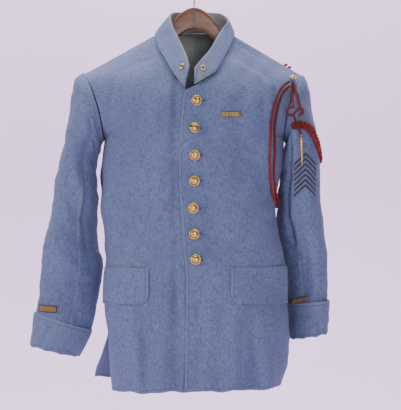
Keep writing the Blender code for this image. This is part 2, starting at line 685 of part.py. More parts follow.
def turned(name, profile, finish, place, facing, steps=12, tall=1.0, ring=False):
    """A round piece turned about its own axis, from the top centre down its outer side. A ring's
    profile closes on itself, and tall stretches the piece upwards to an oval."""
    mesh = bpy.data.meshes.new(name)
    edges = [(i, i + 1) for i in range(len(profile) - 1)] + ([(len(profile) - 1, 0)] if ring else [])
    mesh.from_pydata([(radius, 0, height) for radius, height in profile], edges, [])
    made = new_object(name, mesh, finish)
    spin = made.modifiers.new("Turned", "SCREW")
    spin.steps = spin.render_steps = steps
    spin.use_merge_vertices = True
    spin.merge_threshold = 0.00001
    turn = Vector(facing).to_track_quat("Z", "Y").to_matrix().to_4x4()
    made.matrix_world = Matrix.Translation(place) @ turn @ Matrix.Diagonal((1, tall, 1, 1))
    return made


def spline_through(points, count):
    """A smooth curve through hand-placed points, read off at even steps along it."""
    points = np.array(points, float)
    ends = np.vstack([2 * points[0] - points[1], points, 2 * points[-1] - points[-2]])
    fine = []
    for i in range(1, len(ends) - 2):
        a, b, c, d = ends[i - 1 : i + 3]
        t = np.linspace(0, 1, 16, endpoint=False)[:, None]
        bend, twist = 2 * a - 5 * b + 4 * c - d, 3 * b - a - 3 * c + d
        fine.append(0.5 * (2 * b + (c - a) * t + bend * t**2 + twist * t**3))
    fine = np.vstack(fine + [points[-1:]])
    run = np.concatenate([[0], np.cumsum(np.linalg.norm(np.diff(fine, axis=0), axis=1))])
    at = np.linspace(0, run[-1], count)
    return np.stack([np.interp(at, run, fine[:, i]) for i in range(3)], axis=1)


def cord(name, points, diameter, finish, count, sides=2, over=None):
    """A round cord or wire along a smooth route, kept clear of the cloth it runs over."""
    curve = bpy.data.curves.new(name, "CURVE")
    curve.dimensions = "3D"
    curve.bevel_depth = diameter / 2
    curve.bevel_resolution = sides
    curve.use_fill_caps = True
    line = spline_through(points, count)
    if over:
        line = [clear_of(over, place, diameter / 2 + CORD_CLEARANCE) for place in line]
    spline = curve.splines.new("POLY")
    spline.points.add(count - 1)
    for point, place in zip(spline.points, line):
        point.co = (*place, 1)
    return new_object(name, curve, finish)


def tree_of(*objects):
    """The outer faces of some cloth pieces, for finding where something lies on them."""
    points, faces = [], []
    for made in objects:
        start = len(points)
        points += [v.co for v in made.data.vertices]
        faces += [[start + v for v in p.vertices] for p in made.data.polygons[: made["outer_faces"]]]
    return BVHTree.FromPolygons(points, faces)


def seat(tree, x, z, seen="front"):
    """The point and the facing of the cloth at x and z, as seen from the front or the back. Where
    the view slips through a seam, it is the cloth beside the seam."""
    from_y = -1 if seen == "front" else 1
    hits = [tree.ray_cast(Vector((x + near, from_y, z)), Vector((0, -from_y, 0))) for near in (0, -0.0008, 0.0008)]
    hits = [hit for hit in hits if hit[0] is not None]
    if not hits:
        raise ValueError(f"nothing lies at x {x:.3f}, z {z:.3f} from the {seen}")
    nearest = min(hit[3] for hit in hits)
    place, facing, _, _ = next(hit for hit in hits if hit[3] < nearest + 0.004)
    facing = -facing if facing.y * from_y < 0 else facing
    return np.array((x, place.y, z)), np.array(facing)


def clear_of(tree, place, least):
    """The place itself, or moved straight out where it lies too near the cloth or behind it."""
    found, facing, _, _ = tree.find_nearest(Vector(place))
    off = facing.dot(Vector(place) - found)
    return place + np.array(facing) * max(0.0, least - off)


def laid(name, tree, outline, finish, off, thickness, columns=6, rows=2):
    """A flat piece laid on the cloth: outline gives x and z for how far along and down it a point
    is, and the piece stands off the cloth below it."""
    grid = np.empty((rows + 1, columns + 1, 3))
    for i, down in enumerate(np.linspace(0, 1, rows + 1)):
        for j, along in enumerate(np.linspace(0, 1, columns + 1)):
            grid[i, j] = seat(tree, *outline(along, down))[0]
    facing = normals_of(grid)
    facing = np.where(facing[..., 1:2] > 0, -facing, facing)
    grid = grid + facing * (off + thickness)
    return cloth(name, grid, facing, finish, thickness), grid, facing


def laid_within(name, below, finish, inset, off, thickness):
    """A piece over a laid one, from that one's points moved in from its edges and out."""
    _, grid, facing = below
    for axis in (0, 1):
        count = grid.shape[axis]
        at = np.linspace(inset[axis], 1 - inset[axis], count) * (count - 1)
        low = np.minimum(at.astype(int), count - 2)
        part = (at - low)[:, None, None] if axis == 0 else (at - low)[None, :, None]
        grid, facing = [
            np.take(value, low, axis) * (1 - part) + np.take(value, low + 1, axis) * part for value in (grid, facing)
        ]
    cloth(name, grid + facing * (off + thickness), facing, finish, thickness)


def make_hanger():
    """Two bent wooden arms glued at the middle under a wire hook. Each arm's top follows the
    shoulder seam, just under the cloth."""
    for side, name in ((-1, "hanger_right"), (1, "hanger_left")):
        neck = FRONT_EDGE[side][-1]
        tip = SHOULDER_POINT[side]
        x = np.array(WOOD_STATIONS + (WOOD_TIP_X,))
        under = neck[3] + (tip[2] - neck[3]) * (x - abs(neck[1])) / (abs(tip[0]) - abs(neck[1]))
        arch = WOOD_TOP - 0.052 * (x / 0.0560) ** 1.9
        blend = smooth(0.050, 0.085, x)
        top = arch * (1 - blend) + (under - CLOTH - 0.0022) * blend
        height = WOOD_HEIGHT_TIP + (WOOD_HEIGHT_MIDDLE - WOOD_HEIGHT_TIP) * (1 - smooth(0, 0.17, x))
        height *= 1 - 0.35 * smooth(0.180, WOOD_TIP_X, x)
        depth = WOOD_DEPTH * (1 - 0.25 * smooth(0.05, 0.19, x))
        turn = np.linspace(0, 2 * math.pi, 14, endpoint=False)
        y = np.sign(np.sin(turn)) * np.abs(np.sin(turn)) ** 0.6
        z = np.sign(np.cos(turn)) * np.abs(np.cos(turn)) ** 0.45
        rings = np.empty((len(x), len(turn), 3))
        rings[..., 0] = side * x[:, None]
        rings[..., 1] = WOOD_BACK + depth[:, None] / 2 * y
        rings[..., 2] = (top - height / 2)[:, None] + height[:, None] / 2 * z
        solid_of_rings(name, rings, "varnished_wood")
    rise = HOOK_WIRE / 2 - HOOK_RADIUS
    swing = [
        (HOOK_RADIUS * math.sin(math.radians(a)), 0, rise + HOOK_RADIUS * math.cos(math.radians(a)))
        for a in range(120, -121, -20)
    ]
    shank = [(0, 0, WOOD_TOP + SEAM_GAP), (0, 0, -0.056), (0.004, 0, -0.046)]
    cord("hanger_hook", shank + swing, HOOK_WIRE, "steel", 32)


def make_body():
    across = np.linspace(0, 1, PANEL_COLUMNS + 1)
    level = levels(PANEL_ROWS + 1)
    made = {}
    for side, hand in ((1, "left"), (-1, "right")):
        made["front", side] = cloth(f"front_{hand}", *front_panel(side, level, across))
        made["back", side] = cloth(f"back_{hand}", *back_panel(side, level, across))
    return made


def make_sleeves():
    """Each sleeve is cut in two, an upper and an under piece, with a turned-back cuff."""
    made = {}
    way = np.linspace(0, 1, SLEEVE_ROWS + 1)
    gap = SEAM_GAP / 2 / ARMHOLE_HALF_DEPTH * 2.0
    cuts = {
        "upper": (BACK_SLEEVE_SEAM, FRONT_SLEEVE_SEAM),
        "under": (FRONT_SLEEVE_SEAM, BACK_SLEEVE_SEAM + 2 * math.pi),
    }
    for side, hand in ((1, "left"), (-1, "right")):
        for kind, (first, last) in cuts.items():
            grid, _ = sleeve_face(side, way, np.linspace(first + gap, last - gap, SLEEVE_COLUMNS + 1))
            _, facing = sleeve_face(side, way, np.linspace(first, last, SLEEVE_COLUMNS + 1))
            made[kind, side] = cloth(f"sleeve_{kind}_{hand}", grid, facing)
        ring = np.linspace(0, 2 * math.pi, 20, endpoint=False)
        band = np.linspace(CUFF_TOP[side], 1, 4)
        made["cuff", side] = cloth(f"cuff_{hand}", *cuff(side, band, ring), around=True)
    return made


def collar_band(way, up):
    """The stand collar's face between its seam and its top edge."""
    row = eased(COLLAR, way)
    up = up[:, None, None]
    return row[None, :, :3] * (1 - up) + row[None, :, 3:] * up


def collar_face(way, up, off):
    facing = facing_of(lambda a, b: collar_band(b, a), up, way, -1)
    return collar_band(way, up) + facing * off, facing


def make_collar():
    """Two outer halves that meet at the centre back, over one lining."""
    up = np.linspace(0, 1, COLLAR_ROWS + 1)
    half = COLLAR_COLUMNS // 2 + 1
    right = np.linspace(0, COLLAR_MIDDLE - COLLAR_GAP, half)
    left = np.linspace(COLLAR_MIDDLE + COLLAR_GAP, 1, half)
    halves = [
        cloth(f"collar_{hand}", *collar_face(way, up, COLLAR_OFF))
        for way, hand in ((right, "right"), (left, "left"))
    ]
    grid, facing = collar_face(np.concatenate([right, left]), up, COLLAR_OFF - CLOTH - 2 * SEAM_GAP)
    grid[:, 0] += 0.15 * (grid[:, 1] - grid[:, 0])
    grid[:, -1] += 0.15 * (grid[:, -2] - grid[:, -1])
    cloth("collar_lining", grid, facing, "lining_cloth", LINING)
    return halves


def make_back_lining():
    """The lining of the upper back, where it shows through the open neck."""
    across = np.linspace(0, 0.72, 6)
    level = np.linspace(0.70, 0.965, 8)
    halves, faces = [], []
    for side in (-1, 1):
        grid = torso(back_edge(side), side, across, level, False)
        facing = normals_of(grid) * -side
        halves.append(grid - facing * (CLOTH + LINING_GAP))
        faces.append(facing)
    whole = np.concatenate([halves[0][:, :0:-1], halves[1]], axis=1)
    facing = np.concatenate([faces[0][:, :0:-1], faces[1]], axis=1)
    cloth("back_lining", whole, facing, "lining_cloth", LINING)


def flap_face(side, columns=10, rows=5):
    """A pocket flap from its front's own points, with its lower inner corner rounded."""
    level = levels(161)
    across = np.linspace(0, 1, 61)
    sheet, facing = front_panel(side, level, across)
    grid = np.empty((rows + 1, columns + 1, 3))
    faces = np.empty_like(grid)
    for i, down in enumerate(np.linspace(0, 1, rows + 1)):
        z = FLAP_TOP_Z[side] - FLAP_DROP * down
        near = max(0.0, down * FLAP_DROP - (FLAP_DROP - FLAP_CORNER)) / FLAP_CORNER
        inset = FLAP_CORNER * (1 - math.sqrt(max(0.0, 1 - near**2)))
        row = int(np.argmin(np.abs(sheet[:, 30, 2] - z)))
        inner = np.interp(side * FLAP_INNER_X[side] + inset, side * sheet[row, :, 0], across)
        at = inner + (FLAP_OUTER - inner) * np.linspace(0, 1, columns + 1)
        lift = FLAP_OFF + CLOTH + FLAP_LIFT * down
        for k in range(3):
            grid[i, :, k] = np.interp(at, across, sheet[row, :, k] + facing[row, :, k] * lift)
            faces[i, :, k] = np.interp(at, across, facing[row, :, k])
    return grid, faces


def make_flaps():
    for side, hand in ((1, "left"), (-1, "right")):
        cloth(f"pocket_flap_{hand}", *flap_face(side))


def button_profile(radius, height, shank):
    """A domed button with a groove and a raised rim, on a shank."""
    return (
        (0.0, height),
        (0.34 * radius, height - 0.0004),
        (0.60 * radius, height - 0.0016),
        (0.70 * radius, height - 0.0030),
        (0.86 * radius, height - 0.0022),
        (radius, height - 0.0034),
        (0.94 * radius, height - 0.0046),
        (shank, height - 0.0050),
        (shank, BUTTON_SEAT),
        (0.0, BUTTON_SEAT),
    )


def make_buttons(tree):
    profile = button_profile(BUTTON_RADIUS, BUTTON_HEIGHT, 0.0025)
    for number, (x, z) in enumerate(BUTTONS, 1):
        place, facing = seat(tree, x, z)
        turned(f"button_{number}", profile, "brass", place, facing)
    place, facing = seat(tree, *SHOULDER_BUTTON)
    profile = button_profile(SHOULDER_BUTTON_RADIUS, SHOULDER_BUTTON_HEIGHT, 0.0018)
    turned("shoulder_button", profile, "brass", place, facing, 10)


def straight(left, right, top, low):
    """A four-cornered outline: each end is its x with its top and bottom z."""
    return lambda along, down: (
        left + (right - left) * along,
        (top[0] + (top[1] - top[0]) * along) * (1 - down) + (low[0] + (low[1] - low[0]) * along) * down,
    )


def make_marks(front, sleeves):
    """The ribbon bar, the chevrons on their patch, and the rank lace on each sleeve."""
    left, right, top, low = RIBBON_BAR
    bar = laid("ribbon_bar", front, straight(left, right, (top, top), (low, low)), "bronze", 0.0005, 0.0018)
    laid_within("ribbon", bar, "ribbon_cloth", (0.12, 0.03), SEAM_GAP, 0.0006)

    def chevron(first, last, reach=CHEVRON_HALF_WIDTH):
        def outline(along, down):
            x = (2 * along - 1) * reach
            return CHEVRON_X + x, CHEVRON_TOP - first - (last - first) * down - abs(x)

        return outline

    deep = CHEVRON_STEP * (CHEVRONS - 1) + CHEVRON_LINE
    patch = chevron(-0.003, deep + 0.003, CHEVRON_HALF_WIDTH + 0.0020)
    sleeve_left = tree_of(sleeves["upper", 1], sleeves["under", 1])
    patch = tree_of(laid("chevron_patch", sleeve_left, patch, "grey_cloth", 0.0013, 0.0010, 8, 8)[0])
    for number in range(CHEVRONS):
        start = number * CHEVRON_STEP
        one = chevron(start, start + CHEVRON_LINE)
        laid(f"chevron_{number + 1}", patch, one, "navy_cloth", 0.0010, 0.0009, 8, 1)
    for side, hand in ((1, "left"), (-1, "right")):
        tree = tree_of(sleeves["upper", side], sleeves["under", side])
        left, right, top, low, off = LACE[side]
        tab = laid(f"cuff_tab_{hand}", tree, straight(left, right, top, low), "navy_cloth", off, 0.0010)
        laid_within(f"cuff_lace_{hand}", tab, "gold_lace", (0.13, 0.04), 0.0008, 0.0008)


def make_collar_metal(collar):
    """A plain oval eyelet on each collar end, and the hook and eye between the ends."""
    tree = tree_of(*collar)
    middle, thick = 0.0036, 0.0012
    profile = [
        (middle + thick * math.cos(a), 0.0017 + thick * math.sin(a))
        for a in np.linspace(0, -2 * math.pi, 6, endpoint=False)
    ]
    for (x, z), hand in zip(EYELETS, ("right", "left")):
        place, _ = seat(tree, x, z)
        facing = seat(tree, x - 0.004, z)[1] + seat(tree, x + 0.004, z)[1]
        turned(f"collar_eyelet_{hand}", profile, "brass", place, facing, 12, 1.25, ring=True)
    for name, (legs, loop) in FASTENING.items():
        seats = [seat(tree, *leg) for leg in legs]
        first, last = [place + facing * (FASTENING_WIRE / 2 + 0.0008) for place, facing in seats]
        cord(name, [first, *loop, last], FASTENING_WIRE, "black_metal", 10, 1)


def on_sleeve(way, angle, off):
    """A place off the left sleeve's outer face, by how far down and round it."""
    grid, facing = sleeve_face(1, np.array([way]), np.array([math.radians(angle)]))
    return (grid + facing * off)[0, 0]


def on_cloth(tree, route):
    """A cord's route over the cloth: each run of points seen from one side is smoothed first and
    then laid on what it crosses. Points that hang free are taken as they are."""
    points, start = [], 0
    while start < len(route):
        end = start
        while end < len(route) and route[end][0] == route[start][0]:
            end += 1
        run = [row[1:] for row in route[start:end]]
        if route[start][0] == "free":
            points += run
        else:
            for x, off, z in spline_through(run, 3 * len(run)):
                place, facing = seat(tree, x, z, route[start][0])
                points.append(place + facing * off)
        start = end
    return points


def make_shoulder_cord(tree):
    """Cords that hang from the shoulder button: two plain ones that go round under the arm, a
    thick braid round the outside of the sleeve, a knot of loops and a pendant with its ferrule."""
    for name, route in PLAIN_CORDS.items():
        cord(name, on_cloth(tree, route), CORD, "red_cord", 60, over=tree)
    line = spline_through([on_sleeve(*row) for row in BRAID], 28)
    heading = np.gradient(line, axis=0)
    heading /= np.linalg.norm(heading, axis=1, keepdims=True)
    out = np.array([place - np.array(tree.find_nearest(Vector(place))[0]) for place in line])
    out -= (out * heading).sum(axis=1, keepdims=True) * heading
    out /= np.linalg.norm(out, axis=1, keepdims=True)
    wide = np.cross(heading, out)
    turn = np.linspace(0, 2 * math.pi, 8, endpoint=False)[None, :, None]
    across = wide[:, None] * np.cos(turn) * BRAID_WIDE / 2
    through = out[:, None] * np.sin(turn) * BRAID_THICK / 2
    solid_of_rings("cord_braid", line[:, None] + across + through, "red_cord")
    for name, (route, diameter, count) in SHORT_CORDS.items():
        cord(name, route, diameter, "red_cord", count, over=tree)
    turned("cord_ferrule", FERRULE, "brass", FERRULE_TOP, FERRULE_WAY, 10)


def main():
    for old in list(bpy.data.objects):
        bpy.data.objects.remove(old, do_unlink=True)
    make_hanger()
    body = make_body()
    sleeves = make_sleeves()
    collar = make_collar()
    make_back_lining()
    make_flaps()
    front = tree_of(body["front", 1])
    make_buttons(front)
    make_marks(front, sleeves)
    make_collar_metal(collar)
    make_shoulder_cord(tree_of(body["front", 1], body["back", 1], sleeves["upper", 1], sleeves["under", 1]))


main()
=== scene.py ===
"""A horizon-blue wool tunic hanging open-necked on a wooden hanger: its looks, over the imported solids."""

import math

import bmesh
import bpy
import numpy as np
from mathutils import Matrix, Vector


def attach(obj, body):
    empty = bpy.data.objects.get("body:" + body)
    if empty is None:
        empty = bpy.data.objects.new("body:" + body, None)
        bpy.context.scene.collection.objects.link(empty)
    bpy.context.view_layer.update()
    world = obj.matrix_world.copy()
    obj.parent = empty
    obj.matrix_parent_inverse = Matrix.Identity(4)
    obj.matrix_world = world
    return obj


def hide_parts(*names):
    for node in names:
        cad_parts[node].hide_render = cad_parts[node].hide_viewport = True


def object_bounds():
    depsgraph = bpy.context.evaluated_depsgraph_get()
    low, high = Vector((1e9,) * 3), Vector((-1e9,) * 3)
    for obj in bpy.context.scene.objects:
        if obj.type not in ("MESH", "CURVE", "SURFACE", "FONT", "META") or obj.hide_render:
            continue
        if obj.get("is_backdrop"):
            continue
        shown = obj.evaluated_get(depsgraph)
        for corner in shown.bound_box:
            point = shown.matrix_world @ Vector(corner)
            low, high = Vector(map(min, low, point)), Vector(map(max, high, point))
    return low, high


bl_info = {
    "name": "Hanging tunic",
    "version": (1, 0, 0),
    "blender": (4, 5, 0),
    "location": "3D View > Sidebar > Tunic",
    "description": "Builds the cloth, trimmings, cords and hanger of a hanging wool tunic",
    "category": "Object",
}

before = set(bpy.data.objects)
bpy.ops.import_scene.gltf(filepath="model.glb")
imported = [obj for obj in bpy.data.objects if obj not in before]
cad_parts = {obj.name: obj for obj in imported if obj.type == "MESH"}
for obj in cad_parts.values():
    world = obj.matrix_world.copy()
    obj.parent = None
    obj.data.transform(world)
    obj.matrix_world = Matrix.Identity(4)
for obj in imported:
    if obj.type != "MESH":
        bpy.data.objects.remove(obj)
SOLID_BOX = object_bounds()
MADE = {}

# Cloth, seams and hanger, as the solids have them
CLOTH = 0.0025
LINING = 0.0012
SEAM_GAP = 0.0003
LINING_GAP = 0.0017
LAP = CLOTH + 0.0013
UNDER_LAP = 0.0042
HOOK_WIRE = 0.004
HOOK_RADIUS = 0.020
WOOD_TOP = -0.070
WOOD_DEPTH = 0.013
WOOD_BACK = 0.004
WOOD_HEIGHT_MIDDLE = 0.0435
WOOD_HEIGHT_TIP = 0.020
WOOD_TIP_X = 0.190
WOOD_ARCH = (0.052, 0.0560, 1.9)  # it drops so far by this x, as that power of x

# Buttons: one row down the front, from the collar to the waist
BUTTON_RADIUS = 0.010
BUTTON_HEIGHT = 0.0085
BUTTONS = (  # x, z
    (0.0056, -0.2576),
    (0.0006, -0.3093),
    (0.0021, -0.3592),
    (0.0013, -0.4074),
    (-0.0015, -0.4580),
    (0.0008, -0.5059),
    (0.0034, -0.5534),
)
BUTTONHOLE = (0.0075, 0.0145, 0.0009)  # from the button's middle to its two ends, half its width

# Level runs from 0 at the hem to 1 at the shoulder seam, and the armpit lies at this one
ARMPIT = 0.68

# The inner edge of each front: the front edge from the hem up, then the neckline to the shoulder
FRONT_EDGE = {
    1: (  # level, x, y, z of the wearer's left front, which laps on top
        (0.00, -0.0170, -0.1190, -0.7970),
        (0.15, -0.0148, -0.1130, -0.6960),
        (0.29, -0.0145, -0.1060, -0.6000),
        (0.43, -0.0213, -0.1000, -0.5050),
        (0.58, -0.0275, -0.1000, -0.3850),
        (0.68, -0.0253, -0.1000, -0.3100),
        (0.73, -0.0220, -0.0990, -0.2700),
        (0.775, -0.0165, -0.0975, -0.2390),
        (0.80, 0.0000, -0.0960, -0.2300),
        (0.83, 0.0220, -0.0900, -0.2170),
        (0.87, 0.0410, -0.0790, -0.2030),
        (0.91, 0.0535, -0.0630, -0.1810),
        (0.95, 0.0665, -0.0380, -0.1560),
        (0.975, 0.0735, -0.0200, -0.1370),
        (0.99, 0.0760, -0.0095, -0.1275),
        (1.00, 0.0770, 0.0000, -0.1245),
    ),
    -1: (  # the wearer's right front, which lies beneath
        (0.00, 0.0180, -0.1185, -0.7970),
        (0.15, 0.0200, -0.1130, -0.6960),
        (0.29, 0.0200, -0.1060, -0.6000),
        (0.43, 0.0180, -0.1000, -0.5050),
        (0.58, 0.0180, -0.1000, -0.3850),
        (0.68, 0.0180, -0.1000, -0.3100),
        (0.73, 0.0180, -0.0990, -0.2750),
        (0.775, 0.0100, -0.0975, -0.2430),
        (0.80, -0.0150, -0.0960, -0.2350),
        (0.83, -0.0260, -0.0910, -0.2230),
        (0.87, -0.0410, -0.0790, -0.2020),
        (0.91, -0.0545, -0.0610, -0.1780),
        (0.95, -0.0665, -0.0370, -0.1540),
        (0.975, -0.0715, -0.0200, -0.1370),
        (0.99, -0.0730, -0.0095, -0.1285),
        (1.00, -0.0740, 0.0000, -0.1255),
    ),
}

# The inner edge of each back: the centre back seam, then the back of the neck
NAPE = 0.905  # the centre back seam ends at this level
BACK_EDGE = (  # level, x, y, z
    (0.00, 0.000, 0.116, -0.800),
    (0.15, 0.000, 0.108, -0.700),
    (0.29, 0.000, 0.098, -0.600),
    (0.43, 0.000, 0.086, -0.500),
    (0.58, 0.000, 0.088, -0.390),
    (0.68, 0.000, 0.092, -0.310),
    (0.775, 0.000, 0.090, -0.235),
    (0.84, 0.000, 0.081, -0.170),
    (0.90, 0.000, 0.064, -0.114),
    (0.93, 0.030, 0.058, -0.112),
    (0.96, 0.056, 0.036, -0.1155),
    (0.98, 0.070, 0.016, -0.1210),
    (0.99, 0.0745, 0.008, -0.1235),
    (1.00, 0.0765, 0.000, -0.1250),
)

# The side seam below the armpit, seen from the front
SIDE_SEAM = {
    1: (  # level, x, y, z
        (0.00, 0.168, -0.014, -0.797),
        (0.06, 0.178, -0.016, -0.755),
        (0.15, 0.182, -0.016, -0.700),
        (0.29, 0.178, -0.014, -0.600),
        (0.36, 0.170, -0.012, -0.550),
        (0.43, 0.160, -0.012, -0.500),
        (0.50, 0.157, -0.010, -0.450),
        (0.58, 0.167, -0.006, -0.390),
        (0.68, 0.172, 0.000, -0.324),
    ),
    -1: (
        (0.00, -0.158, -0.016, -0.806),
        (0.06, -0.162, -0.018, -0.765),
        (0.15, -0.164, -0.018, -0.700),
        (0.29, -0.174, -0.014, -0.600),
        (0.36, -0.170, -0.012, -0.550),
        (0.43, -0.171, -0.012, -0.500),
        (0.50, -0.178, -0.010, -0.450),
        (0.58, -0.179, -0.006, -0.390),
        (0.68, -0.173, 0.000, -0.324),
    ),
}

# Below the vent the right back swings out from the front's edge
VENT_LEVEL = 0.185
VENT_SWING = {1: (-0.010, 0.010, 0.002), -1: (-0.041, 0.040, 0.022)}  # x, y, z at the hem

# The armhole, an oval from the shoulder point round under the arm
SHOULDER_POINT = {1: (0.2070, 0.0, -0.2030), -1: (-0.2110, 0.0, -0.1990)}
ARMHOLE_HALF_DEPTH = 0.062
ARMHOLE_BOW = 0.009  # the front and back of it curve in towards the chest

# Sections of each sleeve, from the armhole to the cuff's edge
SLEEVES = {
    1: (  # way, outer x, outer z, inner x, inner z, middle y, half depth, turn
        (0.00, 0.2070, -0.2030, 0.172, -0.324, 0.000, 0.062, 0.000),
        (0.05, 0.2180, -0.2190, 0.1780, -0.336, 0.000, 0.064, 0.003),
        (0.15, 0.2285, -0.2720, 0.1710, -0.354, 0.002, 0.066, 0.006),
        (0.25, 0.2345, -0.3300, 0.1660, -0.388, 0.006, 0.065, 0.010),
        (0.36, 0.2410, -0.3880, 0.1600, -0.428, 0.010, 0.062, 0.014),
        (0.47, 0.2480, -0.4480, 0.1600, -0.475, 0.014, 0.058, 0.018),
        (0.57, 0.2525, -0.5050, 0.1670, -0.525, 0.018, 0.054, 0.022),
        (0.68, 0.2550, -0.5650, 0.1730, -0.578, 0.022, 0.050, 0.024),
        (0.79, 0.2570, -0.6200, 0.1790, -0.630, 0.022, 0.046, 0.022),
        (0.87, 0.2565, -0.6600, 0.1840, -0.668, 0.020, 0.042, 0.016),
        (1.00, 0.2555, -0.6990, 0.1880, -0.712, 0.018, 0.038, 0.010),
    ),
    -1: (
        (0.00, -0.2110, -0.1990, -0.173, -0.324, 0.000, 0.062, 0.000),
        (0.05, -0.2265, -0.2150, -0.181, -0.337, 0.000, 0.064, 0.003),
        (0.15, -0.2395, -0.2700, -0.183, -0.354, 0.002, 0.066, 0.006),
        (0.25, -0.2510, -0.3330, -0.186, -0.388, 0.005, 0.066, 0.010),
        (0.36, -0.2620, -0.3900, -0.187, -0.430, 0.008, 0.064, 0.014),
        (0.47, -0.2730, -0.4450, -0.188, -0.480, 0.010, 0.060, 0.018),
        (0.57, -0.2820, -0.5000, -0.186, -0.528, 0.012, 0.055, 0.024),
        (0.68, -0.2905, -0.5500, -0.180, -0.570, 0.014, 0.050, 0.028),
        (0.79, -0.2975, -0.6000, -0.184, -0.625, 0.014, 0.044, 0.024),
        (0.87, -0.3020, -0.6450, -0.196, -0.680, 0.010, 0.037, 0.014),
        (1.00, -0.3130, -0.7220, -0.227, -0.744, 0.006, 0.034, 0.008),
    ),
}
SLEEVE_SETTLES = 0.22
FRONT_SLEEVE_SEAM = math.radians(105)
BACK_SLEEVE_SEAM = math.radians(-100)
CUFF_TOP = {1: 0.818, -1: 0.893}
CUFF_STAND = (0.0050, 0.0033)  # how far the cuff's face stands off the sleeve, top and edge

# The largest folds in the panels
FOLDS = {  # top x, top z, bottom x, bottom z, half width, depth (a trough is positive)
    "front_left": (
        (0.104, -0.640, 0.124, -0.800, 0.011, 0.0055),
        (0.128, -0.690, 0.146, -0.800, 0.012, -0.0035),
        (0.040, -0.690, 0.046, -0.800, 0.016, 0.0030),
        (0.130, -0.300, 0.118, -0.440, 0.016, 0.0025),
    ),
    "front_right": (
        (-0.096, -0.640, -0.086, -0.800, 0.010, 0.0070),
        (-0.066, -0.660, -0.058, -0.800, 0.013, -0.0050),
        (-0.128, -0.690, -0.126, -0.800, 0.012, 0.0030),
        (-0.128, -0.300, -0.118, -0.440, 0.016, 0.0025),
    ),
    "back_left": (
        (0.060, -0.600, 0.072, -0.790, 0.014, 0.0060),
        (0.110, -0.640, 0.122, -0.790, 0.013, 0.0045),
        (0.120, -0.300, 0.095, -0.460, 0.018, 0.0030),
    ),
    "back_right": (
        (-0.056, -0.610, -0.068, -0.790, 0.014, 0.0060),
        (-0.108, -0.650, -0.126, -0.790, 0.013, 0.0045),
        (-0.118, -0.300, -0.092, -0.460, 0.018, 0.0030),
    ),
}

# The stand collar: its seam and its top edge, from one front end round the neck to the other
COLLAR = (  # way, seam x, y, z, top x, y, z
    (0.00, -0.0165, -0.0985, -0.2345, -0.0078, -0.0930, -0.1960),
    (0.05, -0.0250, -0.0955, -0.2240, -0.0115, -0.0800, -0.1790),
    (0.12, -0.0410, -0.0815, -0.2010, -0.0193, -0.0560, -0.1560),
    (0.20, -0.0545, -0.0630, -0.1765, -0.0304, -0.0320, -0.1320),
    (0.28, -0.0672, -0.0375, -0.1520, -0.0400, -0.0090, -0.1090),
    (0.35, -0.0740, 0.0000, -0.1225, -0.0450, 0.0150, -0.0875),
    (0.42, -0.0590, 0.0400, -0.1130, -0.0370, 0.0370, -0.0765),
    (0.50, 0.0000, 0.0655, -0.1110, 0.0020, 0.0500, -0.0735),
    (0.58, 0.0590, 0.0400, -0.1120, 0.0480, 0.0360, -0.0780),
    (0.65, 0.0765, 0.0000, -0.1215, 0.0650, 0.0120, -0.0950),
    (0.72, 0.0672, -0.0390, -0.1530, 0.0560, -0.0100, -0.1110),
    (0.80, 0.0540, -0.0645, -0.1790, 0.0420, -0.0330, -0.1360),
    (0.88, 0.0410, -0.0815, -0.2015, 0.0286, -0.0560, -0.1600),
    (0.95, 0.0180, -0.0950, -0.2170, 0.0125, -0.0790, -0.1800),
    (1.00, 0.0005, -0.0990, -0.2275, 0.0005, -0.0930, -0.1970),
)
COLLAR_OFF = 0.0035  # the collar's outer face stands this far off the seam line
COLLAR_MIDDLE = 0.50

# Pocket flaps: the inner edge, the top line, the bottom line
FLAP_INNER_X = {1: 0.0690, -1: -0.0840}
FLAP_TOP_Z = {1: -0.5695, -1: -0.5705}
FLAP_DROP = 0.0680
FLAP_OUTER = 0.93  # across the front, towards the side seam
FLAP_CORNER = 0.022
FLAP_LIFT = 0.0012
FLAP_OFF = 0.0009

# Small metal: how high a button's shank starts, the shoulder button, the collar's pieces
BUTTON_SEAT = 0.0005
SHOULDER_BUTTON = (0.1865, -0.2130)  # x, z
SHOULDER_BUTTON_RADIUS = 0.0060
SHOULDER_BUTTON_HEIGHT = 0.0085
EYELETS = ((-0.0222, -0.1935), (0.0172, -0.1965))  # x, z
FASTENING_WIRE = 0.0011
FASTENING = {  # where its two legs start on the collar (x, z), its loop (x, y, z)
    "collar_eye": (
        ((-0.0150, -0.2170), (-0.0150, -0.2220)),
        ((-0.0110, -0.1012, -0.2165), (-0.0080, -0.1014, -0.2195), (-0.0110, -0.1012, -0.2225)),
    ),
    "collar_hook": (
        ((0.0040, -0.2175), (0.0040, -0.2215)),
        ((-0.0020, -0.1025, -0.2172), (-0.0066, -0.1014, -0.2195), (-0.0020, -0.1025, -0.2218)),
    ),
}

# Ribbon bar on the left breast: left, right, top, bottom
RIBBON_BAR = (0.0507, 0.0879, -0.2778, -0.2878)

# Chevrons on the left sleeve, points up
CHEVRONS = 7
CHEVRON_X = 0.2108
CHEVRON_TOP = -0.3530
CHEVRON_STEP = 0.0099
CHEVRON_LINE = 0.0049
CHEVRON_HALF_WIDTH = 0.0205
CHEVRON_BACKING = (0.0020, 0.003)  # how far the backing shows beside, and above and below

# Rank lace above each cuff: left, right, (top z at each end), (bottom z at each end), off the sleeve
LACE = {
    1: (0.1873, 0.2193, (-0.6330, -0.6250), (-0.6430, -0.6330), 0.0062),
    -1: (-0.2960, -0.2610, (-0.6420, -0.6440), (-0.6560, -0.6580), 0.0014),
}

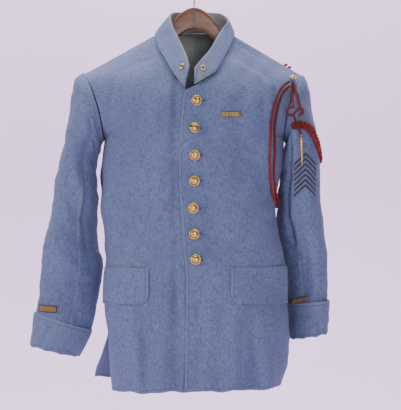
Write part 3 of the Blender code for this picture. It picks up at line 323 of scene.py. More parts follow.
# The shoulder cord
CORD = 0.0034
STRAND = 0.38  # a strand's radius to its cord's diameter
CORD_CLEARANCE = 0.0008
BRAID_WIDE = 0.0150
BRAID_PITCH = 0.024
SHORT_CORDS = {  # route (x, y, z), diameter, points
    "cord_knot": (
        (
            (0.1880, -0.0800, -0.2680), (0.1800, -0.0800, -0.2690), (0.1745, -0.0800, -0.2760),
            (0.1790, -0.0800, -0.2835), (0.1870, -0.0790, -0.2820), (0.1930, -0.0780, -0.2750),
            (0.1990, -0.0770, -0.2690), (0.2045, -0.0760, -0.2740), (0.2030, -0.0760, -0.2810),
            (0.1965, -0.0770, -0.2830),
        ),
        0.0034, 26,
    ),
    "cord_drop_left": (
        ((0.1830, -0.0420, -0.2250), (0.1845, -0.0640, -0.2430), (0.1875, -0.0795, -0.2657)),
        0.0032, 8,
    ),
    "cord_drop_right": (
        ((0.1890, -0.0480, -0.2240), (0.1940, -0.0690, -0.2400), (0.1990, -0.0771, -0.2667)),
        0.0032, 8,
    ),
    "cord_pendant": (
        ((0.1873, -0.0790, -0.2842), (0.1950, -0.0785, -0.3040), (0.2015, -0.0780, -0.3200)),
        0.0032, 8,
    ),
}
FERRULE_TOP = (0.2017, -0.0780, -0.3206)
FERRULE_WAY = (-0.02, 0.04, 1.0)
FERRULE = (  # radius, height below the top
    (0.0, 0.0),
    (0.0024, -0.0008),
    (0.0035, -0.0040),
    (0.0024, -0.0072),
    (0.0030, -0.0085),
    (0.0020, -0.0110),
    (0.0022, -0.0230),
    (0.0028, -0.0250),
    (0.0019, -0.0275),
    (0.0012, -0.0480),
    (0.0, -0.0600),
)

# The long cords follow the rings of their solids, which have this many points to a ring
LONG_CORDS = {  # where the solid starts, how many of its last rings are left off, places kept
    "cord_outer": ((0.1815, -0.0548, -0.2178), 1, 30),
    "cord_inner": ((0.1817, -0.0609, -0.2266), 1, 30),
    "cord_braid": ((0.1844, -0.0642, -0.3044), 0, 24),
}
RING_POINTS = 8

# The stage: light places, what they look at, size, watts and colour, then the room and the camera
BACKDROP = (0.86, 0.71, 0.95)
LIGHTS = {
    "key": ((-2.9, -1.9, 0.35), (0, 0, -0.45), 0.9, 66.0, (1.0, 0.98, 0.96)),
    "fill": ((0.7, -3.0, -0.1), (0, 0, -0.45), 1.4, 43.0, (1.0, 0.98, 0.96)),
    "wall": ((0, 0.75, 2.3), (0, 1.9, -0.9), 2.4, 225.0, (1.0, 0.88, 1.0)),
}
ROOM_COLOUR = (0.93, 0.89, 0.92, 1)
ROOM_STRENGTH = 0.20
CAMERA_PLACE = (0.0125, -2.8, -0.452)
CAMERA_LENS = 130.3
CAMERA_SENSOR = 36

# The ribbon's stripes: where each starts across it, and its colour
RIBBON_LONG = 0.0355
STRIPES = (
    (0.00, (0.10, 0.12, 0.05)), (0.07, (0.42, 0.30, 0.06)), (0.16, (0.13, 0.14, 0.05)),
    (0.23, (0.45, 0.31, 0.07)), (0.32, (0.13, 0.14, 0.05)), (0.40, (0.40, 0.27, 0.07)),
    (0.48, (0.06, 0.05, 0.03)), (0.51, (0.45, 0.26, 0.05)), (0.62, (0.30, 0.19, 0.08)),
    (0.74, (0.45, 0.30, 0.07)), (0.88, (0.20, 0.15, 0.06)),
)

# How much the creases and the slow waves in each kind of piece are
CREASE_DEPTH = {"body": 1.8, "sleeve": 1.4, "cuff": 1.6}
WAVE_DEPTH = {"body": 0.0014, "sleeve": 0.0016, "cuff": 0.0010, "collar": 0.0005, "flap": 0.0004}

# Lengths on the cloth that turn a table's degrees and ways into metres
SLEEVE_ROUND = 0.052
SLEEVE_LONG = 0.52
CUFF_ROUND = 0.045
COLLAR_LONG = 0.37
COLLAR_TALL = 0.045

# Creases laid one by one: a body panel's run from x, z to x, z; half width, depth (a ridge is negative), bow
BODY_CREASES = {
    "front_left": (
        (0.1520, -0.2250, 0.1560, -0.3050, 0.0080, 0.0022, 0.003),
        (0.1250, -0.2300, 0.1320, -0.3300, 0.0120, 0.0012, 0.004),
        (0.0600, -0.2350, 0.0560, -0.3900, 0.0200, -0.0014, 0.004),
        (0.0950, -0.2450, 0.0900, -0.4300, 0.0180, 0.0013, -0.005),
        (0.1480, -0.4300, 0.0950, -0.4620, 0.0090, 0.0016, 0.004),
        (0.1500, -0.4800, 0.1000, -0.4950, 0.0080, 0.0013, -0.003),
        (0.1450, -0.5150, 0.0800, -0.5350, 0.0100, 0.0012, 0.004),
        (0.0350, -0.4300, 0.0300, -0.5500, 0.0120, 0.0009, 0.003),
        (0.0150, -0.3350, 0.0650, -0.3480, 0.0060, 0.0007, 0.002),
        (0.0160, -0.4320, 0.0600, -0.4450, 0.0060, 0.0007, -0.002),
        (0.0090, -0.6300, 0.0060, -0.7950, 0.0090, 0.0018, 0.002),
        (0.0350, -0.6100, 0.0300, -0.7400, 0.0140, -0.0012, 0.003),
        (0.0750, -0.6600, 0.0800, -0.7950, 0.0120, -0.0022, -0.002),
        (0.1550, -0.6500, 0.1620, -0.7900, 0.0080, 0.0020, 0.000),
        (0.0850, -0.1750, 0.1500, -0.2150, 0.0090, 0.0010, 0.003),
    ),
    "front_right": (
        (-0.1500, -0.2200, -0.1570, -0.3050, 0.0080, 0.0022, -0.003),
        (-0.1250, -0.2250, -0.1300, -0.3300, 0.0120, 0.0012, -0.004),
        (-0.0600, -0.2350, -0.0620, -0.3700, 0.0200, -0.0014, -0.004),
        (-0.1000, -0.2450, -0.0960, -0.4300, 0.0160, 0.0013, 0.004),
        (-0.0330, -0.2350, -0.0400, -0.3900, 0.0070, 0.0010, 0.002),
        (-0.0360, -0.4200, -0.0340, -0.5500, 0.0080, 0.0010, -0.002),
        (-0.1600, -0.4250, -0.1050, -0.4550, 0.0090, 0.0015, -0.004),
        (-0.1640, -0.4750, -0.1150, -0.4900, 0.0080, 0.0012, 0.003),
        (-0.1600, -0.5250, -0.0900, -0.5450, 0.0110, 0.0012, -0.004),
        (-0.0280, -0.3350, -0.0800, -0.3450, 0.0060, 0.0007, 0.002),
        (-0.0280, -0.4850, -0.0750, -0.4980, 0.0060, 0.0008, 0.002),
        (-0.0330, -0.6000, -0.0280, -0.7900, 0.0090, 0.0020, 0.003),
        (-0.0850, -0.6450, -0.0740, -0.7950, 0.0060, -0.0022, 0.000),
        (-0.1150, -0.6500, -0.1080, -0.7950, 0.0120, -0.0018, 0.000),
        (-0.0850, -0.1750, -0.1500, -0.2100, 0.0090, 0.0010, -0.003),
    ),
    "back_left": (
        (0.1500, -0.2200, 0.1550, -0.3050, 0.0090, 0.0022, 0.003),
        (0.0700, -0.2200, 0.0750, -0.3900, 0.0180, 0.0014, 0.004),
        (0.0300, -0.3000, 0.0280, -0.4400, 0.0140, -0.0012, 0.003),
        (0.1450, -0.4400, 0.0500, -0.4600, 0.0090, 0.0018, 0.004),
        (0.1450, -0.4800, 0.0650, -0.4930, 0.0080, 0.0014, -0.003),
        (0.0120, -0.5700, 0.0150, -0.7900, 0.0110, 0.0020, 0.002),
        (0.0880, -0.6100, 0.0970, -0.7900, 0.0100, -0.0026, 0.000),
        (0.0850, -0.1700, 0.1450, -0.2080, 0.0090, 0.0012, 0.003),
    ),
    "back_right": (
        (-0.1500, -0.2200, -0.1560, -0.3050, 0.0090, 0.0022, -0.003),
        (-0.0650, -0.2200, -0.0700, -0.3800, 0.0180, 0.0014, -0.004),
        (-0.0320, -0.3000, -0.0260, -0.4400, 0.0140, -0.0012, -0.003),
        (-0.1500, -0.4350, -0.0550, -0.4550, 0.0090, 0.0018, -0.004),
        (-0.1500, -0.4850, -0.0700, -0.4980, 0.0080, 0.0014, 0.003),
        (-0.0150, -0.5800, -0.0200, -0.7900, 0.0110, 0.0018, 0.002),
        (-0.0850, -0.6200, -0.0960, -0.7900, 0.0100, -0.0026, 0.000),
        (-0.0850, -0.1650, -0.1450, -0.2050, 0.0090, 0.0012, -0.003),
    ),
}

# A sleeve's creases run from way, degrees to way, degrees; half width, depth, bow, in metres
SLEEVE_CREASES = {
    1: (
        (0.10, 122, 0.40, 126, 0.0055, 0.0062, 0.002),
        (0.38, 125, 0.58, 118, 0.0055, 0.0050, -0.002),
        (0.50, 96, 0.80, 92, 0.0100, 0.0024, 0.002),
        (0.20, 70, 0.42, 96, 0.0100, 0.0016, 0.004),
        (0.50, 150, 0.60, 60, 0.0080, 0.0018, 0.006),
        (0.57, 140, 0.68, 70, 0.0070, 0.0015, -0.005),
        (0.64, 40, 0.80, 62, 0.0090, 0.0014, 0.003),
        (0.06, 60, 0.16, 20, 0.0090, 0.0014, 0.004),
        (0.12, -60, 0.40, -80, 0.0110, 0.0022, 0.004),
        (0.46, -40, 0.56, -110, 0.0080, 0.0020, 0.005),
        (0.56, -30, 0.66, -120, 0.0080, 0.0018, -0.005),
        (0.60, -80, 0.82, -70, 0.0100, 0.0018, 0.003),
        (0.10, 180, 0.34, 184, 0.0120, 0.0022, 0.003),
    ),
    -1: (
        (0.10, 118, 0.36, 112, 0.0080, 0.0030, 0.002),
        (0.32, 108, 0.58, 116, 0.0070, -0.0026, 0.002),
        (0.36, 122, 0.66, 128, 0.0080, 0.0034, 0.002),
        (0.46, 150, 0.57, 60, 0.0085, 0.0018, 0.006),
        (0.54, 130, 0.66, 50, 0.0080, 0.0015, -0.005),
        (0.22, 60, 0.46, 88, 0.0120, 0.0014, 0.004),
        (0.60, 30, 0.78, 60, 0.0100, 0.0014, 0.003),
        (0.06, 60, 0.16, 20, 0.0090, 0.0014, 0.004),
        (0.12, -60, 0.38, -84, 0.0110, 0.0022, 0.004),
        (0.44, -40, 0.55, -110, 0.0080, 0.0020, 0.005),
        (0.55, -30, 0.66, -120, 0.0080, 0.0018, -0.005),
        (0.62, -80, 0.84, -72, 0.0100, 0.0018, 0.003),
        (0.10, 180, 0.34, 184, 0.0120, 0.0022, 0.003),
    ),
}
CUFF_CREASES = {
    1: ((0.90, 62, 1.00, 50, 0.0060, 0.0016, 0.001), (0.84, 140, 1.00, 150, 0.0070, 0.0012, 0.002)),
    -1: (
        (0.90, 74, 1.02, 60, 0.0060, 0.0018, 0.002),
        (0.89, 40, 0.96, 34, 0.0060, 0.0012, 0.001),
        (0.90, -60, 1.02, -70, 0.0070, 0.0014, 0.002),
    ),
}
COLLAR_CREASES = (  # way, up to way, up; half width, depth, bow
    (0.10, 0.10, 0.16, 0.90, 0.0050, 0.0010, 0.001),
    (0.24, 0.90, 0.30, 0.15, 0.0060, 0.0010, 0.001),
    (0.74, 0.15, 0.70, 0.85, 0.0060, 0.0012, 0.001),
    (0.88, 0.10, 0.84, 0.90, 0.0050, 0.0010, 0.001),
)
LINING_CREASES = (  # as a body panel's
    (0.020, -0.118, 0.012, -0.200, 0.0050, -0.0035, 0.002),
    (-0.016, -0.150, -0.006, -0.215, 0.0060, -0.0030, 0.002),
    (0.045, -0.125, 0.040, -0.190, 0.0060, -0.0020, 0.002),
)


def eased(rows, at):
    """The table's columns at the given stops: a monotone cubic through its rows."""
    table = np.array(rows, float)
    at = np.asarray(at, float)
    stops, values = table[:, 0], table[:, 1:]
    step = np.diff(stops)[:, None]
    rise = np.diff(values, axis=0) / step
    before, after = rise[:-1], rise[1:]
    turning = before * after <= 0
    long, short = 2 * step[1:] + step[:-1], step[1:] + 2 * step[:-1]
    mean = (long + short) / (long / np.where(turning, 1, before) + short / np.where(turning, 1, after))
    slope = np.vstack([rise[:1], np.where(turning, 0, mean), rise[-1:]])
    i = np.clip(np.searchsorted(stops, at, side="right") - 1, 0, len(stops) - 2)
    width = step[i]
    f = (at - stops[i])[..., None] / width
    rest = 1 - f
    start = values[i] * (1 + 2 * f) * rest**2 + slope[i] * width * f * rest**2
    end = values[i + 1] * (3 - 2 * f) * f**2 - slope[i + 1] * width * rest * f**2
    return start + end


def smooth(low, high, x):
    """0 below low, 1 above high, eased between them."""
    f = np.clip((x - low) / (high - low), 0, 1)
    return f * f * (3 - 2 * f)


def normals_of(grid):
    """Unit normals of a grid of points, from its neighbours along both ways."""
    along, across = np.gradient(grid, axis=0), np.gradient(grid, axis=1)
    normal = np.cross(across, along)
    return normal / np.linalg.norm(normal, axis=2, keepdims=True)


def facing_of(surface, level, across, outward, ends=(0, 1)):
    """The way a surface faces at each point, from four points close round it."""
    step = 0.002
    up = surface(np.minimum(level + step, 1), across) - surface(np.maximum(level - step, 0), across)
    right, left = np.minimum(across + step, ends[1]), np.maximum(across - step, ends[0])
    normal = np.cross(surface(level, right) - surface(level, left), up) * outward
    return normal / np.linalg.norm(normal, axis=2, keepdims=True)


def armhole(side, angle):
    """The armhole's seam: angle 0 at the shoulder point, 90 degrees in front, 180 under the arm."""
    top = np.array(SHOULDER_POINT[side])
    low = np.array(SIDE_SEAM[side][-1][1:])
    middle, reach = (top + low) / 2, (top - low) / 2
    forward = np.array([0, -ARMHOLE_HALF_DEPTH, 0])
    inwards = np.array([-side * ARMHOLE_BOW, 0, 0])
    c, s = np.cos(angle)[..., None], np.sin(angle)[..., None]
    return middle + reach * c + forward * s + inwards * s**2


def torso(edge_rows, side, across, level, front):
    """A body panel. Each level is a Bezier from the panel's inner edge to the side seam or the
    armhole: it leaves the edge sideways, and meets the side going straight back below the armpit
    and more and more sideways up to the shoulder."""
    edge = eased(edge_rows, level)
    seam = eased(SIDE_SEAM[side], np.minimum(level, ARMPIT))
    rise = np.clip((level - ARMPIT) / (1 - ARMPIT), 0, 1)
    turned = math.pi * (1 - rise) if front else math.pi * (1 + rise)
    outer = np.where((level > ARMPIT)[:, None], armhole(side, turned), seam)
    if not front:
        swing = smooth(VENT_LEVEL, -0.05, level)[:, None]
        outer = outer + swing * np.array(VENT_SWING[side])
    heading = np.radians(90 * (1 - rise**0.8))
    back = 1 if front else -1
    out = np.abs(outer[:, 0] - edge[:, 0])
    deep = np.abs(outer[:, 1] - edge[:, 1])
    leave = np.zeros_like(edge)
    leave[:, 0] = side * out * (0.60 - 0.2 * rise)
    reach = (0.80 - 0.25 * rise) * deep * np.sin(heading) + 0.3 * out * np.cos(heading)
    arrive = np.zeros_like(edge)
    arrive[:, 0] = side * reach * np.cos(heading)
    arrive[:, 1] = back * reach * np.sin(heading)
    fine = np.linspace(0, 1, 241)[:, None, None]
    rest = 1 - fine
    line = (
        rest**3 * edge
        + 3 * rest**2 * fine * (edge + leave)
        + 3 * rest * fine**2 * (outer - arrive)
        + fine**3 * outer
    )
    flat = line[..., :2]
    steps = np.linalg.norm(np.diff(flat, axis=0), axis=2)
    run = np.concatenate([np.zeros((1, len(edge))), np.cumsum(steps, axis=0)])
    run /= run[-1]
    grid = np.empty((len(level), len(across), 3))
    for row in range(len(level)):
        for axis in range(2):
            grid[row, :, axis] = np.interp(across, run[:, row], line[:, row, axis])
        grid[row, :, 2] = edge[row, 2] + (outer[row, 2] - edge[row, 2]) * across
    return grid


def fold_depth(grid, folds):
    """How deep the panel's largest folds are: each is a soft trough or ridge along a slanting line."""
    depth = np.zeros(grid.shape[:2])
    for top_x, top_z, low_x, low_z, half, deep in folds:
        way = (top_z - grid[..., 2]) / (top_z - low_z)
        line = top_x + (low_x - top_x) * way
        to_hem = smooth(-0.15, 0.45, way)
        short = np.exp(-((way - 0.5) ** 2) * 8)
        reach = to_hem if low_z < -0.7 else short
        depth += deep * reach * np.exp(-(((grid[..., 0] - line) / half) ** 2))
    return depth[..., None]


def back_edge(side):
    """The inner edge of one half of the back."""
    return [(row[0], side * row[1], row[2], row[3]) for row in BACK_EDGE]


def armhole_normals(side, angle):
    """Which way the body's cloth faces round the armhole."""
    level = np.linspace(ARMPIT + 0.004, 0.992, 40)
    across = np.array([0.94, 0.97, 1.0])
    front = normals_of(torso(FRONT_EDGE[side], side, across, level, True))[:, -1] * side
    back = normals_of(torso(back_edge(side), side, across, level, False))[:, -1] * -side
    turned = math.pi * (1 - (level - ARMPIT) / (1 - ARMPIT))
    angles = np.concatenate([turned[::-1], 2 * math.pi - turned])
    faces = np.concatenate([front[::-1], back])
    order = np.argsort(angles)
    found = np.stack(
        [np.interp(angle, angles[order], faces[order, i], period=2 * math.pi) for i in range(3)], axis=-1
    )
    return found / np.linalg.norm(found, axis=-1, keepdims=True)


def sleeve(side, way, angle):
    """A sleeve as rings: each is an oval between its outer and inner points, turned a little so
    that its inner side lies further back. The first ring laps over the armhole's edge."""
    row = eased(SLEEVES[side], way)
    outer = np.stack([row[:, 0], row[:, 4] - row[:, 6], row[:, 1]], axis=1)[:, None]
    inner = np.stack([row[:, 2], row[:, 4] + row[:, 6], row[:, 3]], axis=1)[:, None]
    c, s = np.cos(angle)[None, :, None], np.sin(angle)[None, :, None]
    forward = np.zeros((len(way), 1, 3))
    forward[:, 0, 1] = -row[:, 5]
    settle = (1 - smooth(0, SLEEVE_SETTLES, way))[:, None, None]
    bow = np.array([-side * ARMHOLE_BOW, 0, 0]) * s**2 * settle
    grid = (outer + inner) / 2 + (outer - inner) / 2 * c + forward * s + bow
    lap = LAP * armhole_normals(side, np.mod(angle, 2 * math.pi))
    return grid + lap[None] * settle


def spline_through(points, count):
    """A smooth curve through given points, read off at even steps along it."""
    points = np.array(points, float)
    ends = np.vstack([2 * points[0] - points[1], points, 2 * points[-1] - points[-2]])
    fine = []
    for i in range(1, len(ends) - 2):
        a, b, c, d = ends[i - 1 : i + 3]
        t = np.linspace(0, 1, 16, endpoint=False)[:, None]
        square, cube = 2 * a - 5 * b + 4 * c - d, 3 * b - a - 3 * c + d
        fine.append(0.5 * (2 * b + (c - a) * t + square * t**2 + cube * t**3))
    fine = np.vstack(fine + [points[-1:]])
    run = np.concatenate([[0], np.cumsum(np.linalg.norm(np.diff(fine, axis=0), axis=1))])
    at = np.linspace(0, run[-1], count)
    return np.stack([np.interp(at, run, fine[:, i]) for i in range(3)], axis=1)


def collar_band(way, up):
    """The stand collar's face between its seam and its top edge."""
    row = eased(COLLAR, way)
    up = up[:, None, None]
    return row[None, :, :3] * (1 - up) + row[None, :, 3:] * up


def crease_depth(u, v, creases):
    """Soft troughs and ridges: a bell across each bowed line, fading at both of its ends."""
    depth = np.zeros_like(u)
    for u0, v0, u1, v1, half, deep, bow in creases:
        long = math.hypot(u1 - u0, v1 - v0)
        du, dv = (u1 - u0) / long, (v1 - v0) / long
        along = ((u - u0) * du + (v - v0) * dv) / long
        off = (v - v0) * du - (u - u0) * dv - bow * (1 - (2 * along - 1) ** 2)
        fade = smooth(-0.22, 0.20, along) * smooth(1.22, 0.80, along)
        wider = half * (0.8 + 0.5 * np.clip(along, 0, 1))
        depth += deep * fade * np.exp(-((off / wider) ** 2))
    return depth


def uneven(u, v, seed, size):
    """Cloth that never lies quite flat: a sum of nine slow waves of unlike lengths and headings."""
    chance = np.random.default_rng(seed)
    total = np.zeros_like(u)
    for long in (0.150, 0.110, 0.085, 0.060, 0.046, 0.034, 0.026, 0.020, 0.015):
        heading, phase = chance.uniform(0, 2 * math.pi, 2)
        total += long * np.sin(2 * math.pi * (u * math.cos(heading) + v * math.sin(heading)) / long + phase)
    return total * size / 0.150


def as_metres(rows, wide, tall):
    """A sleeve's crease table with its ways and degrees turned to metres on the cloth."""
    return [
        (math.radians(a0) * wide, w0 * tall, math.radians(a1) * wide, w1 * tall, half, deep, bow)
        for w0, a0, w1, a1, half, deep, bow in rows
    ]


def spans(grid):
    """How far each point of a grid lies along its row, and how far along its column."""
    rows = np.linalg.norm(np.diff(grid, axis=1), axis=2)
    across = np.concatenate([np.zeros((len(grid), 1)), np.cumsum(rows, axis=1)], axis=1)
    columns = np.linalg.norm(np.diff(grid, axis=0), axis=2)
    down = np.concatenate([np.zeros((1, grid.shape[1])), np.cumsum(columns, axis=0)], axis=0)
    return across, down


def rolled(grid, facing, around=False, roll=0.0009, width=0.0030):
    """The grid with its edges rolled in, as a turned and pressed edge is: a bell of depth at each
    edge. It also gives each point's distance from the nearest edge."""
    across, down = spans(grid)
    edge = np.minimum(down, down[-1:] - down)
    if not around:
        edge = np.minimum(edge, np.minimum(across, across[:, -1:] - across))
    return grid - facing * (roll * np.exp(-((edge / width) ** 2)))[..., None], edge


def body_panel(side, front, level, across):
    """A front or half the back: its section curves, less its folds, its creases and its waves."""
    hand = "left" if side > 0 else "right"
    name = ("front_" if front else "back_") + hand
    edge = FRONT_EDGE[side] if front else back_edge(side)
    outward = side if front else -side
    grid = torso(edge, side, across, level, front)
    facing = normals_of(grid) * outward
    if front and side < 0:
        under = smooth(-0.050, -0.030, grid[..., 0]) * smooth(-0.215, -0.240, grid[..., 2])
        grid[..., 1] += UNDER_LAP * under
    x, z = grid[..., 0].copy(), grid[..., 2].copy()
    strength = bpy.context.scene.tunic_sizes.crease_strength
    seam = smooth(0, 0.03, 1 - across)[None, :] * smooth(0, 0.03, 1 - level)[:, None]
    if not front:
        seam = seam * smooth(0, 0.03, across)[None]
    soft = CREASE_DEPTH["body"] * crease_depth(x, z, BODY_CREASES[name])
    soft += uneven(x, z, 3 + side + 7 * front, WAVE_DEPTH["body"])
    depth = fold_depth(grid, FOLDS[name])[..., 0] + soft * seam * strength
    hem = 0.0016 * np.sin(78 * x + side) + 0.0009 * np.sin(167 * x + 2)
    grid[..., 2] += hem * smooth(0.10, 0, level)[:, None] * strength
    grid = grid - depth[..., None] * facing
    grid[-1, :, 1] = 0
    below = level < ARMPIT
    middle = level < NAPE
    if not front:
        grid[middle, 0, 0] = 0
    facing = normals_of(grid) * outward
    facing[-1, :, 1] = 0
    facing[below, -1, 1] = 0
    if not front:
        facing[middle, 0, 0] = 0
    return grid, facing / np.linalg.norm(facing, axis=2, keepdims=True)


def sleeve_part(side, way, angle):
    """Part of a sleeve: its ovals, less its creases and its waves."""
    grid = sleeve(side, way, angle)
    facing = facing_of(lambda a, b: sleeve(side, a, b), way, angle, side, (-9, 9))
    first = (1 - smooth(0, 0.04, way))[:, None, None]
    facing = facing * (1 - first) + armhole_normals(side, np.mod(angle, 2 * math.pi))[None] * first
    facing /= np.linalg.norm(facing, axis=2, keepdims=True)
    wide, tall = SLEEVE_ROUND, SLEEVE_LONG
    u, v = np.broadcast_arrays(angle[None] * wide, way[:, None] * tall)
    turn = 2 * math.pi * wide
    rows = as_metres(SLEEVE_CREASES[side], wide, tall)
    depth = CREASE_DEPTH["sleeve"] * sum(crease_depth(u + k * turn, v, rows) for k in (-1, 0, 1))
    round_u, round_v = np.cos(angle)[None] * wide + 0 * v, v + 0.02 * np.sin(angle)[None]
    depth += uneven(round_u, round_v, 21 + side, WAVE_DEPTH["sleeve"])
    depth *= smooth(0, 0.05, way)[:, None] * bpy.context.scene.tunic_sizes.crease_strength
    return grid - depth[..., None] * facing, facing


def cuff_part(side, way, angle):
    """The turned-back cuff: the sleeve's ovals moved out, with creases of its own."""
    grid = sleeve(side, way, angle)
    facing = facing_of(lambda a, b: sleeve(side, a, b), way, angle, side, (-9, 9))
    up = ((1 - way) / (1 - CUFF_TOP[side]))[:, None, None]
    wide, tall = CUFF_ROUND, SLEEVE_LONG
    u, v = np.broadcast_arrays(angle[None] * wide, way[:, None] * tall)
    depth = CREASE_DEPTH["cuff"] * crease_depth(u, v, as_metres(CUFF_CREASES[side], wide, tall))
    round_u, round_v = np.cos(angle)[None] * wide + 0 * v, v + 0.03 * np.sin(angle)[None]
    depth += uneven(round_u, round_v, 31 + side, WAVE_DEPTH["cuff"])
    depth *= bpy.context.scene.tunic_sizes.crease_strength
    grid[..., 2] += 0.0013 * np.sin(9 * angle)[None] * smooth(0.96, 1, way)[:, None]
    stand = CUFF_STAND[1] + (CUFF_STAND[0] - CUFF_STAND[1]) * up
    return grid + facing * (stand - depth[..., None]), facing


class Nodes:
    """A material's node tree, built a node at a time."""

    def __init__(self, name, colour, rough, metal=0.0, **sockets):
        self.material = bpy.data.materials.new(name)
        self.material.use_nodes = True
        self.tree = self.material.node_tree
        self.surface = self.tree.nodes["Principled BSDF"]
        self.put(self.surface, "Base Color", colour)
        self.put(self.surface, "Roughness", rough)
        self.put(self.surface, "Metallic", metal)
        for socket, value in sockets.items():
            self.put(self.surface, socket.replace("_", " "), value)

    def put(self, node, socket, value):
        """A value or a link into a socket."""
        into = node.inputs[socket]
        if isinstance(value, bpy.types.NodeSocket):
            self.tree.links.new(value, into)
        elif isinstance(value, tuple) and len(value) == 3 and into.type == "RGBA":
            into.default_value = (*value, 1)
        else:
            into.default_value = value

    def add(self, kind, out=0, settings=(), **sockets):
        """A node and one of its outputs; a socket is named, or numbered as i0, i1 and so on."""
        node = self.tree.nodes.new("ShaderNode" + kind)
        for key, value in dict(settings).items():
            setattr(node, key, value)
        for socket, value in sockets.items():
            numbered = socket[0] == "i" and socket[1:].isdigit()
            self.put(node, int(socket[1:]) if numbered else socket.replace("_", " "), value)
        return node.outputs[out]

    def math(self, kind, a, b=0.0, c=0.0):
        return self.add("Math", settings={"operation": kind}, i0=a, i1=b, i2=c)

    def mix(self, factor, a, b, blend="MIX"):
        node = self.tree.nodes.new("ShaderNodeMix")
        node.data_type, node.blend_type = "RGBA", blend
        for socket, value in ((0, factor), (6, a), (7, b)):
            self.put(node, socket, value)
        return node.outputs[2]

    def attribute(self, name, kind="Fac"):
        return self.add("Attribute", out=kind, settings={"attribute_name": name})

    def place(self):
        return self.add("TexCoord", out="Object")

    def lie(self):
        return self.add("UVMap", settings={"uv_map": "lie"})

    def noise(self, at, scale, detail=3.0, stretch=None):
        if stretch:
            at = self.add("Mapping", Vector=at, Scale=stretch)
        return self.add("TexNoise", Vector=at, Scale=scale, Detail=detail)

    def wave(self, at, across, along):
        """A sine of a place on the cloth, with so many turns a metre each way, from 0 to 1."""
        split = self.add("SeparateXYZ", Vector=at)
        u, v = split, split.node.outputs[1]
        lengthwise = self.math("MULTIPLY", v, along * 2 * math.pi)
        turn = self.math("MULTIPLY_ADD", u, across * 2 * math.pi, lengthwise)
        return self.math("MULTIPLY_ADD", self.math("SINE", turn), 0.5, 0.5)

    def range(self, value, low, high, to_low, to_high, kind="LINEAR"):
        limits = {"From_Min": low, "From_Max": high, "To_Min": to_low, "To_Max": to_high}
        return self.add("MapRange", settings={"interpolation_type": kind}, Value=value, **limits)

    def relief(self, *heights):
        """Bumps one on another, each a height and its depth in metres."""
        normal = None
        for height, depth in heights:
            sockets = {"Height": height, "Distance": depth, "Strength": 1.0}
            if normal:
                sockets["Normal"] = normal
            normal = self.add("Bump", **sockets)
        self.put(self.surface, "Normal", normal)


def times(colour, factor, add=0.0):
    """A colour made lighter or darker, never past white."""
    return tuple(min(1.0, part * factor + add) for part in colour)


def serge(name, colour, light, dark, thread=0.00125):
    """Wool serge: a slanting twill of heathered threads, faded in clouds, paler where it is worn
    and pressed along a line inside each edge."""
    m = Nodes(name, colour, 0.9, Sheen_Weight=0.10, Sheen_Roughness=0.5, Specular_IOR_Level=0.15)
    lie, place = m.lie(), m.place()
    twill = m.wave(lie, 0.5 / thread, 0.86 / thread)
    fibres = m.noise(lie, 1.0, 4.0, (1300.0, 420.0, 1.0))
    fleck = m.noise(lie, 1.0, 2.0, (520.0, 160.0, 1.0))
    cloud = m.noise(place, 11.0, 4.0)
    slub = m.noise(place, 1.0, 3.0, (900.0, 900.0, 110.0))
    weft = m.noise(place, 1.0, 3.0, (130.0, 130.0, 640.0))
    base = m.mix(m.range(fibres, 0.34, 0.66, 0.0, 1.0), dark, light)
    layers = (  # pattern, from, to, how strong at each, colour
        (fleck, 0.50, 0.72, 0.0, 0.55, times(light, 1.35, 0.05)),
        (twill, 0.0, 1.0, 0.16, 0.0, times(dark, 0.72)),
        (slub, 0.48, 0.70, 0.0, 0.60, times(light, 1.40, 0.012)),
        (slub, 0.50, 0.32, 0.0, 0.55, times(dark, 0.55)),
        (weft, 0.52, 0.70, 0.0, 0.40, times(light, 1.30, 0.01)),
        (weft, 0.48, 0.32, 0.0, 0.30, times(dark, 0.6)),
        (cloud, 0.38, 0.66, 0.0, 0.26, times(dark, 0.84)),
    )
    for pattern, low, high, least, most, tint in layers:
        base = m.mix(m.range(pattern, low, high, least, most), base, tint)
    worn = (light[0] * 1.45 + 0.02, light[1] * 1.35 + 0.02, light[2] * 1.02)
    base = m.mix(m.attribute("wear"), base, worn)
    from_line = m.math("ABSOLUTE", m.math("SUBTRACT", m.attribute("edge"), 0.55))
    press = m.range(from_line, 0.0, 0.09, 0.0, 1.0, "SMOOTHSTEP")
    base = m.mix(m.range(press, 0.0, 1.0, 0.45, 0.0), base, times(dark, 0.45))
    m.put(m.surface, "Base Color", base)
    m.put(m.surface, "Roughness", m.range(fibres, 0.3, 0.7, 0.84, 0.97))
    m.relief((press, 0.0005), (twill, 0.00016), (fibres, 0.00022), (slub, 0.00012))
    return m.material


def plain_weave(name, light, dark, thread, sheen=0.1):
    """A plain weave: two crossed sets of threads, with faded clouds and small slubs."""
    m = Nodes(name, light, 0.8, Sheen_Weight=sheen, Specular_IOR_Level=0.3)
    lie, place = m.lie(), m.place()
    warp, weft = m.wave(lie, 1 / thread, 0), m.wave(lie, 0, 1 / thread)
    weave = m.math("MULTIPLY", warp, weft)
    cloud = m.noise(place, 26.0, 4.0)
    fibres = m.noise(lie, 1.0, 3.0, (900.0, 900.0, 1.0))
    base = m.mix(m.range(cloud, 0.36, 0.68, 0.0, 1.0), light, dark)
    base = m.mix(m.range(fibres, 0.35, 0.65, 0.0, 0.35), base, times(light, 1.25))
    base = m.mix(m.range(weave, 0.0, 1.0, 0.22, 0.0), base, times(dark, 0.6))
    m.put(m.surface, "Base Color", base)
    m.put(m.surface, "Roughness", m.range(fibres, 0.3, 0.7, 0.70, 0.90))
    m.relief((weave, 0.00014), (fibres, 0.0001))
    return m.material


